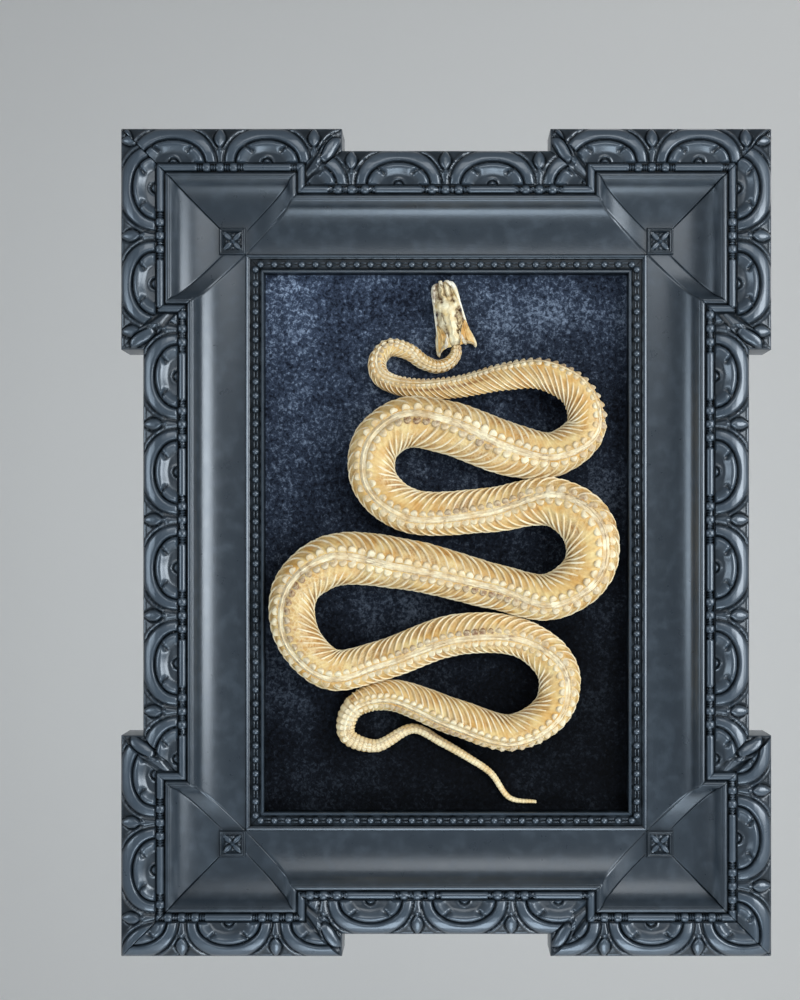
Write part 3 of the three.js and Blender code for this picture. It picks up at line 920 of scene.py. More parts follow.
@dataclass
class CarvedFrame:
    """The eared frame: four carved rails, the inner strips with their beads, and the corner rosettes."""

    palette: Palette
    growth: Growth
    ornament: Ornament = Ornament()
    band_end: float = 30.4
    rod_inset: float = 34.5
    rod_reach: float = 4.0
    rod_bed: float = 37.2
    bar_length: float = 42.0
    bead_pitch: float = 11.6
    bar_radius: float = 3.1
    bead_radius: float = 3.7
    column_step: float = 0.9
    sight_bead_pitch: float = 12.15
    sight_bead_radius: float = 3.25
    rosette_half: float = 11.6

    def build(self) -> None:
        """Builds every piece of the frame."""
        half_x = SIGHT_HALF_X + STRIP_WIDTH + MOULDING_WIDTH
        half_z = SIGHT_HALF_Z + STRIP_WIDTH + MOULDING_WIDTH
        quarter = math.pi / 2
        rails = (
            Rail("top", 0.0, half_x, half_z, 80.5, (-153.6, -41.0, 136.0)),
            Rail("right", quarter, half_z, half_x, 82.0, (-222.0, 21.4, 253.5)),
            Rail("bottom", 2 * quarter, half_x, half_z, 80.5, (-175.8, -15.5, 186.5)),
            Rail("left", -quarter, half_z, half_x, 82.0, (-281.0, -21.6, 222.0)),
        )
        for rail in rails:
            self._carved_rail(rail)
            self._sight_strip(rail)
        self._rosettes()

    @staticmethod
    def _turned(points: Array, turn: float) -> Array:
        """Turns points of a rail's own frame about Y, from the top side to the rail's side.

        Args:
            points: Points of the rail.
            turn: The turn in radians.

        Returns:
            The turned points.
        """
        c, s = math.cos(turn), math.sin(turn)
        x, z = points[..., 0], points[..., 2]
        return np.stack([x * c + z * s, points[..., 1], -x * s + z * c], -1)

    def _rod_radius(self, a: Array, period: float) -> Array:
        """The turned rod's radius along the rail: a long bar under each arch, then three beads and discs.

        Args:
            a: Place along the rail, from the middle of an arch.
            period: The distance between two arches.

        Returns:
            The radius in millimetres.
        """
        easing, bead_half, disc_half, disc_radius, neck_radius = 1.4, 3.7, 0.85, 2.9, 1.6
        a = (a + period / 2) % period - period / 2
        end = self.bar_length / 2
        bar = self.bar_radius * half_round(np.clip((np.abs(a) - end + easing) / easing, 0, 1))
        radius = np.where(np.abs(a) < end, bar, 0.0)
        across = np.abs(a) - period / 2
        for centre in (-self.bead_pitch, 0.0):
            barrel = np.clip(1 - (np.abs(across - centre) / bead_half) ** 4, 0, 1) ** 0.5 * self.bead_radius
            radius = np.maximum(radius, barrel)
        for centre in (-1.5, -0.5):
            middle = centre * self.bead_pitch
            for offset in (-1.05, 1.05):
                disc = disc_radius * half_round(np.abs(across - middle - offset) / disc_half)
                radius = np.maximum(radius, disc)
        return np.maximum(radius, neck_radius)

    def _profile(self) -> tuple[Array, Array]:
        """The moulding's section without ornament.

        Returns:
            The insets from the outer edge, and the heights there.
        """
        band = np.concatenate([[0.5, 1.1], np.linspace(1.9, 29.6, 35)])
        cushion_inset = [0.5, 1.1, 3.5, 7, 12, 17, 22, 26, 29.6]
        cushion = np.interp(band, cushion_inset, [34.6, 35.6, 37.6, 39.2, 40.4, 40.7, 40.2, 39.2, 38.0])
        angle = np.linspace(-math.pi / 2, math.pi / 2, 15)
        rod = self.rod_inset + 3.75 * np.sin(angle)
        crest_inset = [38.7, 39.0, 39.5, 41.6, 42.6, 43.0, 43.6]
        crest = [37.0, 39.0, 40.0, 40.6, 40.2, 39.2, 38.7]
        across = np.linspace(1, 0, 15)
        cove = MOULDING_WIDTH - (MOULDING_WIDTH - 44.0) * across
        cove_height = LIP_HEIGHT + (38.5 - LIP_HEIGHT) * (1 - np.sqrt(1 - across**2))
        bed = np.full(15, self.rod_bed)
        inset = [[0, 0, 0.15], band, [30.1, 30.5], rod, crest_inset, cove, [MOULDING_WIDTH]]
        height = [[0, 33.6, 34.2], cushion, [36.4, 36.6], bed, crest, cove_height, [0]]
        return np.concatenate(inset), np.concatenate(height)

    def _carved_rail(self, rail: Rail) -> None:
        """Sweeps the section round the eared outline and raises the ornament on it.

        Args:
            rail: Which side of the frame it is.
        """
        inset, plain = self._profile()
        jog = rail.half_length + EAR_STEP - EAR_LENGTH
        out = rail.half_out
        corners = (
            (-rail.half_length - EAR_STEP + MITRE_CUT, out + EAR_STEP, 1),
            (-jog, out + EAR_STEP, -1),
            (-jog, out, -1),
            (jog, out, 1),
            (jog, out + EAR_STEP, 1),
            (rail.half_length + EAR_STEP - MITRE_CUT, out + EAR_STEP, -1),
        )
        # Each length has its own repeat; the short lengths at the jogs carry a bud.
        phases = (rail.arches[0], None, rail.arches[1], None, rail.arches[2])
        columns = []
        reliefs = []
        for i, phase in enumerate(phases):
            (a0, z0, s0), (a1, z1, s1) = corners[i], corners[i + 1]
            length = abs(a1 - a0) + abs(z1 - z0)
            count = max(int(length / self.column_step), 4)
            t = np.linspace(0, 1, count + 1)[:, None]
            start_a, end_a = a0 + s0 * inset, a1 + s1 * inset
            along = start_a + (end_a - start_a) * t
            outwards = (z0 + (z1 - z0) * t) - inset
            travel = (outwards + inset - (z0 + z1) / 2) if phase is None else along
            place = 0.5 * rail.period + 0.6 * travel if phase is None else travel - phase
            turned = travel if phase is None else place
            ends = np.minimum(t, 1 - t) * np.maximum(length - 2 * inset * (i in (0, 4)), 1.0)
            relief = self._relief(place, turned, inset + 0 * t, ends, rail.period)
            columns.append(np.stack([along, -(plain + relief), outwards], -1))
            reliefs.append(relief)
        rings = [columns[0]]
        tones = [reliefs[0]]
        for ring, tone in zip(columns[1:], reliefs[1:]):
            seam = (rings[-1][-1, :, 1] + ring[0, :, 1]) / 2
            rings[-1][-1, :, 1] = seam
            rings.append(ring[1:])
            tones.append(tone[1:])
        points = self._turned(np.concatenate(rings), rail.turn)
        made = loft(f"carved_rail_{rail.name}", points, crisp=50)
        tone = np.concatenate(tones)
        # Painted shade and highlight: darker where the carving sinks, lighter where it rises, partly as wear.
        on_rod = np.abs(inset - self.rod_inset) < self.rod_reach
        shade = np.where(on_rod, tone / 4.0, 0.5 + tone / 4.6)
        set_attribute(made, "relief", np.clip(shade + 0 * tone, 0, 1))
        enrol(made, self.palette.paint, [f"frame_{rail.name}"])

    def _relief(self, place: Array, turned: Array, inset: Array, ends: Array, period: float) -> Array:
        """The height of ornament and rod above the plain section, cut a little at each crease.

        Args:
            place: Place in the ornament's repeat.
            turned: Place in the rod's repeat.
            inset: Distance from the outer edge.
            ends: Distance to the nearer crease.
            period: The length of a repeat.

        Returns:
            The height above the plain section.
        """
        up = self.band_end - inset
        band = smoothstep(0.5, 2.2, inset) * smoothstep(self.band_end, self.band_end - 1, inset)
        carved = self.ornament.height(place, up, period) * band
        radius = self._rod_radius(turned, period)
        aside = np.abs(inset - self.rod_inset)
        rod = np.sqrt(np.clip(radius**2 - aside**2, 0, None)) + 0.9
        rod = np.where(aside < radius, rod, 0.0)
        relief = np.where(aside < self.rod_reach, rod, carved)
        fade = smoothstep(0.0, 1.0, inset) * smoothstep(MOULDING_WIDTH, MOULDING_WIDTH - 1.5, inset)
        return relief - 0.7 * bell(ends, 0.5) * fade

    def _sight_strip(self, rail: Rail) -> None:
        """The narrow strip round the opening, with its beads and the fine bars between them.

        Args:
            rail: Which side of the frame it is.
        """
        outer = MOULDING_WIDTH + GAP
        inner = MOULDING_WIDTH + STRIP_WIDTH
        section = (
            (outer, REST_HEIGHT), (outer, 18.2), (outer + 0.6, 19.4), (outer + 1.6, 19.8),
            (outer + 2.6, 19.3), (outer + 3.0, 17.9), (outer + 3.8, 17.4), (outer + 4.2, 16.9),
            (outer + 5.0, 16.9), (inner - 4.8, 16.9), (inner - 4.0, 16.9), (inner - 3.4, 17.3),
            (inner - 2.9, 17.7), (inner - 2.5, 19.0), (inner - 1.8, 19.7), (inner - 1.0, 19.7),
            (inner - 0.4, 19.0), (inner - 0.1, 17.8), (inner, 17.0), (inner, REST_HEIGHT),
        )
        ends = ((-rail.half_length + MITRE_CUT, 1), (rail.half_length - MITRE_CUT, -1))
        steps = 2
        rings = []
        for k in range(steps + 1):
            t = k / steps
            ring = []
            for d, h in section:
                near, far = (end + sign * d for end, sign in ends)
                ring.append(((1 - t) * near + t * far, -h, rail.half_out - d))
            rings.append(ring)
        points = self._turned(np.array(rings), rail.turn)
        made = loft(f"sight_strip_{rail.name}_moulding", points, crisp=25)
        # Painted shade: a dark floor, near black at its low edges; the two raised borders are rubbed and
        # painted lighter.
        floor = (outer + 5.0, inner - 4.8)
        tones = [0.17 if d in floor else 0.04 if h < 17.6 else 0.5 + 0.2 * (h > 19) for d, h in section]
        set_attribute(made, "relief", np.tile(tones, steps + 1))
        enrol(made, self.palette.paint, [f"sight_strip_{rail.name}"])
        self._sight_beads(rail)

    def _sight_beads(self, rail: Rail) -> None:
        """Round beads along the strip, with two fine bars side by side between each pair.

        Args:
            rail: Which side of the frame it is.
        """
        inset = MOULDING_WIDTH + 0.5 * STRIP_WIDTH + 0.7
        reach = rail.half_length - inset - 4.4
        count = int(round(2 * reach / self.sight_bead_pitch))
        along = np.linspace(-reach, reach, count + 1)
        level = 17.0
        gaps = (along[:-1] + along[1:]) / 2
        rows = (
            ("sight_beads", self._bead_unit(), along, (0.0,)),
            ("sight_bars", self._bar_unit(), gaps, (-1.35, 1.35)),
        )
        for name, unit, spots, shifts in rows:
            lines = [
                [spots, np.full_like(spots, -level), np.full_like(spots, rail.half_out - inset + shift)]
                for shift in shifts
            ]
            places = self._turned(np.concatenate([np.stack(line, -1) for line in lines]), rail.turn)
            turns = np.tile([0.0, rail.turn, 0.0], (len(places), 1))
            made = self.growth.pieces_on(
                f"{name}_{rail.name}", unit, places, turns, np.ones_like(places), self.palette.paint
            )
            bpy.data.objects.remove(unit)
            enrol(made, None)

    def _bead_unit(self) -> Piece:
        """A half-round bead with a small foot.

        Returns:
            The bead, to be copied.
        """
        sides, levels = 12, 5
        rings = []
        angle = full_turn(sides)
        for k in range(levels + 1):
            tilt = math.pi / 2 * k / levels
            radius = max(self.sight_bead_radius * math.cos(tilt), 0.12)
            height = self.sight_bead_radius * math.sin(tilt)
            ring = [radius * np.cos(angle), np.full(sides, -height), radius * np.sin(angle)]
            rings.append(np.stack(ring, -1))
        foot = rings[0].copy()
        foot[:, 1] = 0.6
        made = loft("sight_bead_unit", np.array([foot, *rings]))
        # Painted shade and highlight: near black at the bead's foot, lightest on its top.
        set_attribute(made, "relief", np.repeat([0.0, 0.0, 0.3, 0.55, 0.75, 0.95, 1.0], sides))
        return made

    def _bar_unit(self) -> Piece:
        """A fine half-round bar that lies between two beads.

        Returns:
            The bar, to be copied.
        """
        half = (self.sight_bead_pitch - 2 * self.sight_bead_radius) / 2 + 0.3
        angle = np.linspace(0, math.pi, 5)
        rings = []
        for x, size in ((-half, 0.5), (-half + 0.5, 1.0), (half - 0.5, 1.0), (half, 0.5)):
            ring = np.stack([np.full(5, x), -0.9 * size * np.sin(angle), 0.6 * size * np.cos(angle)], -1)
            rings.append(ring)
        made = loft("sight_bar_unit", np.array(rings))
        # Painted shade and highlight: lightest along the bar's top, darker down its sides.
        set_attribute(made, "relief", np.tile([0.1, 0.5, 0.7, 0.5, 0.1], 4))
        return made

    def _rosettes(self) -> None:
        """A square block at each corner: a double border round a leaf of four petals."""
        half = self.rosette_half
        steps = 38
        line = np.linspace(-half, half, steps + 1)
        x, z = np.meshgrid(line, line, indexing="ij")
        edge = half - np.maximum(np.abs(x), np.abs(z))
        border = 0.9 * bell(edge - 1.1, 0.8) + 0.8 * bell(edge - 3.0, 0.55)
        level = 20.6 + border - 2.2 * smoothstep(3.4, 4.1, edge)
        along, across = (np.abs(x) + np.abs(z)) / math.sqrt(2), (np.abs(x) - np.abs(z)) / math.sqrt(2)
        width = 2.5 * np.sin(math.pi * np.clip((along - 1.2) / 9.2, 0, 1)) ** 0.7 + 0.01
        petal = half_round(across / width) * smoothstep(3.7, 4.4, edge)
        centre = half_round(np.hypot(x, z) / 2.1)
        tip = bell(x, 1.0) * bell(np.abs(z) - 5.4, 1.1) + bell(z, 1.0) * bell(np.abs(x) - 5.4, 1.1)
        relief = 2.8 * petal - 0.9 * petal * bell(across, 0.5) + 3.0 * centre + 1.4 * tip
        level = level + relief
        level[edge < 0.05] = 19.9
        top = np.stack([x, -level, z], -1).reshape(-1, 3)
        foot = EAR_STEP / 2 - GAP
        bottom = np.array([[-foot, 0, -foot], [-foot, 0, foot], [foot, 0, foot], [foot, 0, -foot]])
        n = steps + 1
        faces = grid_faces(n, n, False)
        walls = self._rosette_walls(n)
        # Painted shade and highlight: the paint is lighter where the rosette's carving rises.
        tone = np.clip(0.3 + relief.reshape(-1) / 3.4, 0, 1)
        tone = np.concatenate([tone, np.full(4, 0.3)])
        # The block laps over the sight strip by this much; its foot stands in the hole beside the strip.
        tuck = 0.6
        for vertical, up in (("top", 1), ("bottom", -1)):
            for side, across_sign in (("left", -1), ("right", 1)):
                out = STRIP_WIDTH + half - tuck
                shift = np.array([across_sign * (SIGHT_HALF_X + out), 0, up * (SIGHT_HALF_Z + out)])
                hole = EAR_STEP / 2 - half + tuck
                aside = np.array([across_sign * hole, 0, up * hole])
                points = np.vstack([top, bottom + aside]) + shift
                made = make_object(f"carved_rosette_{vertical}_{side}", points, faces + walls)
                face_outward(made, 60)
                set_attribute(made, "relief", tone)
                enrol(made, self.palette.paint, [f"rosette_{vertical}_{side}"])

    @staticmethod
    def _rosette_walls(n: int) -> list[list[int]]:
        """The four walls and the back of a rosette whose top is an n by n grid.

        Args:
            n: Points along an edge of the top.

        Returns:
            The faces.
        """
        a, b, c, d = n * n, n * n + 1, n * n + 2, n * n + 3
        left = [a, *range(0, n), b]
        far = [b, *range(n - 1, n * n, n), c]
        right = [c, *range(n * n - 1, n * n - n - 1, -1), d]
        near = [d, *range(n * n - n, -1, -n), a]
        return [left, far, right, near, [a, b, c, d]]


# ---- the velvet and its board ----


@dataclass
class VelvetPanel:
    """The board in the opening: velvet stretched over its front, kraft tape round its back."""

    palette: Palette
    step: float = 2.2
    board_back: float = 0.25
    board_front: float = 6.6
    board_bevel: float = 0.6
    velvet_back: float = 6.75
    velvet_front: float = 7.72
    tape_inset: float = 1.5

    def build(self) -> None:
        """Builds the board, its tape and the velvet."""
        half_x = SIGHT_HALF_X + STRIP_WIDTH - GAP
        half_z = SIGHT_HALF_Z + STRIP_WIDTH - GAP
        self._board(half_x, half_z)
        self._tape(half_x, half_z)
        self._velvet(half_x - 0.1, half_z - 0.1)

    def _board(self, half_x: float, half_z: float) -> None:
        """The stiff board, with eased edges.

        Args:
            half_x: Half the width.
            half_z: Half the height.
        """
        square = np.array([(1, 1), (-1, 1), (-1, -1), (1, -1)])
        back, front, bevel = self.board_back, self.board_front, self.board_bevel
        levels = ((half_x - bevel, half_z - bevel, back), (half_x, half_z, back + bevel))
        levels += ((half_x, half_z, front - bevel), (half_x - bevel, half_z - bevel, front))
        rings = [[(sx * hx, -h, sz * hz) for sx, sz in square] for hx, hz, h in levels]
        board = loft("backing_board", np.array(rings), smooth=False)
        enrol(board, self.palette.board)

    def _tape(self, half_x: float, half_z: float) -> None:
        """Gummed tape along the four edges of the back.

        Args:
            half_x: Half the width.
            half_z: Half the height.
        """
        width, thickness = 24.0, 0.22
        strips = []
        for sign in (-1, 1):
            for vertical in (False, True):
                long_half = (half_z if vertical else half_x) - self.tape_inset
                near = (half_x if vertical else half_z) - self.tape_inset
                waves = np.linspace(-long_half, long_half, 60)
                inner = near - width + 0.5 * ripple(waves / 90, 0 * waves, 11 + sign)
                rings = []
                for place, edge in zip(waves, inner):
                    corners = ((near, 0.02), (near, thickness), (edge, thickness), (edge, 0.05))
                    rings.append(
                        [(sign * d, -h, place) if vertical else (place, -h, sign * d) for d, h in corners]
                    )
                strips.append(loft("tape", np.array(rings), smooth=False))
        enrol(join("kraft_tape", strips), self.palette.tape)

    def _velvet(self, half_x: float, half_z: float) -> None:
        """A stretched sheet whose pile lies in soft crushed creases.

        Args:
            half_x: Half the width.
            half_z: Half the height.
        """
        x = np.linspace(-half_x, half_x, int(2 * half_x / self.step))
        z = np.linspace(-half_z, half_z, int(2 * half_z / self.step))
        grid_x, grid_z = np.meshgrid(x, z, indexing="ij")
        folds = 0.25 * ripple(grid_x / 46, grid_z / 46, 3) + 0.18 * ripple(grid_x / 15, grid_z / 15, 4, 11)
        folds = folds + 0.12 * ripple(grid_x / 6.5, grid_z / 6.5, 5, 13)
        front = np.clip(self.velvet_front + 0.3 * folds, 7.3, 8.15)
        rows = len(z)
        top = np.stack([grid_x, -front, grid_z], -1).reshape(-1, 3)
        under = top.copy()
        under[:, 1] = -self.velvet_back
        faces = grid_faces(rows, len(x), False)
        count = len(top)
        faces += [[count + k for k in reversed(face)] for face in faces]
        rim = [*range(rows), *range(2 * rows - 1, count, rows)]
        rim += [*range(count - 2, count - rows - 1, -1), *range(count - 2 * rows, 0, -rows)]
        faces += [[rim[i - 1], rim[i], count + rim[i], count + rim[i - 1]] for i in range(len(rim))]
        made = make_object("stretched_velvet", np.vstack([top, under]), faces)
        face_outward(made)
        enrol(made, self.palette.velvet, ["velvet_board"])


# ---- the body's path ----


class BodyPath:
    """Where the body lies, and its section at every distance from the back of the skull."""

    def __init__(self) -> None:
        """Samples the route and works out the vertebral joints."""
        route = np.array(ROUTE, float)
        samples = 120
        places = catmull_rom(route[:, :2], samples)
        girth = catmull_rom(route[:, 2:], samples)
        travel = np.gradient(places, axis=0)
        travel = travel / np.linalg.norm(travel, axis=1, keepdims=True)
        steps = np.linalg.norm(np.diff(places, axis=0), axis=1)
        self.arc = np.concatenate([[0], np.cumsum(steps)])
        heading = np.unwrap(np.arctan2(travel[:, 1], travel[:, 0]))
        even = np.arange(0, self.arc[-1], 1.0)
        turning = np.gradient(np.interp(even, self.arc, heading))
        span = 31
        window = np.hanning(span) / np.hanning(span).sum()
        turning = np.convolve(np.pad(turning, span // 2, mode="edge"), window, mode="valid")
        bend = np.interp(self.arc, even, turning) * girth[:, 0]
        self.table = np.hstack([places, travel, girth, bend[:, None]])
        self.length = float(self.arc[-1])
        joints = [0.0]
        while joints[-1] < self.length - 1:
            half = float(self.at(np.array([joints[-1]]))["half"][0])
            joints.append(min(joints[-1] + self.spacing(half), self.length))
        self.joints = np.array(joints)
        ends = [int(np.argmax(self.joints >= end)) for end in (NECK_END, *TRUNK_ENDS)]
        names = ["neck", *(f"trunk_{i + 1}" for i in range(len(TRUNK_ENDS)))]
        self.lengths = list(zip(names, [0, *ends[:-1]], ends))
        self.rib_end = float(self.joints[ends[-1]])

    def at(self, s: Array) -> dict[str, Array]:
        """The body's section at distances from the skull.

        Args:
            s: Distances along the body.

        Returns:
            Arrays named x, z, tx, tz, half, rise, spine and bend, which is half over the bend's radius and
            positive where the body turns to the left of travel.
        """
        x, z, tx, tz, half, lean, bend = (np.interp(s, self.arc, column) for column in self.table.T)
        size = np.hypot(tx, tz)
        rise = 1.6 + 0.52 * half + 0.3 * np.abs(lean)
        spine = np.arcsin(np.clip(lean / half, -0.97, 0.97))
        lie = {"x": x, "z": z, "tx": tx / size, "tz": tz / size, "half": half, "rise": rise}
        return {**lie, "spine": spine, "bend": bend}

    @staticmethod
    def point(lie: dict[str, Array], u: Array, height: Array) -> Array:
        """A point of the section, u to the left of travel and at a height."""
        return np.stack([lie["x"] - lie["tz"] * u, -height, lie["z"] + lie["tx"] * u], -1)

    def on_body(self, lie: dict[str, Array], angle: Array, inset: Array) -> Array:
        """Points of the body's outline.

        Args:
            lie: The body's section there.
            angle: The angle from the top, positive to the left of travel.
            inset: How far inside the outline they lie.

        Returns:
            The points.
        """
        u = (lie["half"] - inset) * np.sin(angle)
        height = REST_HEIGHT + lie["rise"] + (lie["rise"] - inset) * np.cos(angle)
        return self.point(lie, u, np.maximum(height, REST_HEIGHT + 0.02))

    @staticmethod
    def spacing(half: Array) -> Array:
        """The length of a vertebra."""
        return 2.4 + 0.25 * half

    @staticmethod
    def reach(half: Array) -> Array:
        """How far a vertebra's wings reach to each side."""
        return 1.4 + 0.27 * half

    @staticmethod
    def scale(half: Array) -> Array:
        """How large the body's small forms are here, 1 where it is stoutest."""
        return np.clip(half / 20, 0.3, 1.1)

    def sweep(self, s: Array, half: Array) -> Array:
        """How far tailwards a rib's tip lies from its head."""
        return 1.85 * half * np.clip((self.rib_end - s) / 40, 0, 1)


# ---- ribs, membrane and vertebrae ----


@dataclass
class RibCage:
    """The ribs of both sides, with the dried membrane that holds them."""

    palette: Palette
    growth: Growth
    path: BodyPath
    columns: int = 9
    rows: int = 26
    lining_rows: int = 7

    def build(self) -> None:
        """Builds the membrane of each side, then the ribs of each length."""
        for side in Side:
            self._membrane(side)
            for name, first, last in self.path.lengths:
                self._ribs(name, first, last, side)

    def _inner(self, start: Array, side: Side) -> Array:
        """How far a side lies on the inside of a bend, 0 to 1; there the tissue has drawn over the ribs."""
        return np.clip(2.6 * side.value * self.path.at(start)["bend"] - 0.1, 0, 1)

    def _spread(self, start: Array, k: Array, side: Side) -> tuple:
        """Follows ribs from their heads to their tips.

        Args:
            start: Distances along the body of the rib heads.
            k: Shares of the way to the tips.
            side: The side of the body.

        Returns:
            The sections there, and the angles from the top.
        """
        head = self.path.at(start)
        s = start + self.path.sweep(start, head["half"]) * k**1.5
        lie = self.path.at(s)
        speed = np.hypot(lie["half"] * np.cos(lie["spine"]), lie["rise"] * np.sin(lie["spine"]))
        begin = lie["spine"] + side.value * 0.45 * self.path.reach(lie["half"]) / speed
        end = lie["spine"] + side.value * RIB_WRAP
        return lie, begin + (end - begin) * k

    def _membrane(self, side: Side) -> None:
        """One sheet over a whole side, tented over the ribs and sunk between them.

        Args:
            side: Which side of the body.
        """
        joints = self.path.joints[self.path.joints <= self.path.rib_end + 1e-6]
        index = np.arange((len(joints) - 1) * self.columns + 1) / self.columns
        start = np.interp(index, np.arange(len(joints)), joints)[:, None]
        phase = np.minimum(index % 1, 1 - index % 1)[:, None]
        k = np.linspace(0, 1, self.rows)[None, :]
        lie, angle = self._spread(start + 0 * k, k + 0 * start, side)
        size = self.path.scale(lie["half"])
        spacing = self.path.spacing(lie["half"])
        aside = phase * spacing * (1 - 0.3 * k)
        tent = bell(aside, 1.35 * size)
        inner = self._inner(start, side)
        ragged = 0.13 * ripple(start / 45, k * 1.5, 21 + side.value)
        bare = smoothstep(0.0, 0.3, k - 0.04 - 0.2 * inner + ragged)
        gaping = inner * smoothstep(0.45, 0.85, k)
        uneven = 0.13 * ripple(start / 7, k * 6, 31 + side.value, 9)
        uneven = uneven - 0.3 * np.clip(ripple(start / 13, k * 3, 35 + side.value, 9), 0, 1) * (1 - tent)
        # In the slender lengths a row of notches runs beside the vertebrae, darkened with painted shade.
        slender = smoothstep(0.64, 0.48, size) * smoothstep(0.38, 0.44, size)
        notch = (1 - tent) * bell(k - 0.36, 0.07) * slender
        inset = size * (0.4 + (0.3 + (1.2 + 1.0 * gaping) * bare) * (1 - tent) + 0.9 * notch + uneven)
        outer = self.path.on_body(lie, angle, inset)
        lining_k = np.linspace(1, 0, self.lining_rows)[None, :]
        lining_lie, lining_angle = self._spread(start + 0 * lining_k, lining_k + 0 * start, side)
        wall = 3.2 * self.path.scale(lining_lie["half"])
        lining = self.path.on_body(lining_lie, lining_angle, wall)
        made = loft(f"membrane_{side.label}", np.concatenate([outer, lining], 1))
        blank = np.zeros((len(index), self.lining_rows))
        patchy = 0.8 + 0.2 * ripple(start / 40, k * 2, 42)
        # Painted shade: darker between the ribs, in a line beside each rib, in the bent side's gaps and on
        # the lining.
        rib_shadow = bell(aside - 1.75 * size, 0.75 * size)
        hollow = ((0.3 + 0.4 * gaping) * (1 - tent) + 0.5 * rib_shadow) * (0.3 + 0.7 * bare)
        hollow = hollow * patchy + 0.9 * notch
        browned = 0.5 if side is Side.RIGHT else 0.25
        blush = np.clip(browned + 0.5 * ripple(start / 70, k * 1.2, 41 + side.value), 0, 1)
        flush = smoothstep(1.0, 0.1, k - 0.2 * inner) * blush * np.ones_like(inset)
        set_attribute(made, "hollow", np.clip(np.concatenate([hollow, blank + 0.8], 1), 0, 1))
        set_attribute(made, "flush", np.clip(np.concatenate([flush, blank], 1), 0, 1))
        nodes = [f"{name}_ribs_{side.label}" for name, _, _ in self.path.lengths]
        enrol(made, self.palette.membrane, nodes)

    def _ribs(self, name: str, first: int, last: int, side: Side) -> None:
        """The ribs of one length of the body, one at each vertebra.

        Args:
            name: The length's name.
            first: Its first joint.
            last: Its last joint.
            side: The side of the body.
        """
        rng = np.random.default_rng(100 * first + 7 + side.value)
        k = np.array([0.0, 0.06, 0.13, 0.21, 0.3, 0.4, 0.5, 0.6, 0.7, 0.8, 0.9, 0.985])
        guides, radii, stains = [], [], []
        for joint in range(max(first, 1), last):
            start = np.full(len(k), self.path.joints[joint] + rng.uniform(-0.35, 0.35))
            lie, angle = self._spread(start, k, side)
            size = self.path.scale(lie["half"])
            radius = size**0.8 * np.interp(k, [0, 0.1, 0.3, 0.8, 1], [1.35, 1.15, 0.9, 0.8, 0.4])
            radius = radius * rng.uniform(0.9, 1.1)
            drawn = self._inner(start, side) * smoothstep(0.42, 0.18, k)
            sink = np.interp(k, [0, 0.1, 0.3, 1], [1.8, 1.3, 0.7, 0.55])
            sink = size * (sink + rng.uniform(-0.1, 0.2) + 0.7 * drawn)
            bow = rng.uniform(-0.05, 0.05) * np.sin(math.pi * k)
            guides.append(self.path.on_body(lie, angle + side.value * bow, sink))
            radii.append(radius)
            worn = rng.uniform(0.0, 0.14)
            stains.append(worn + np.interp(k, [0, 0.2, 0.4, 0.85, 1], [0.45, 0.22, 0.06, 0.08, 0.35]))
        made = self.growth.rods_along(
            f"{name}_rib_bones_{side.label}", guides, radii, self.palette.rib, 6, {"stain": stains}
        )
        enrol(made, None)


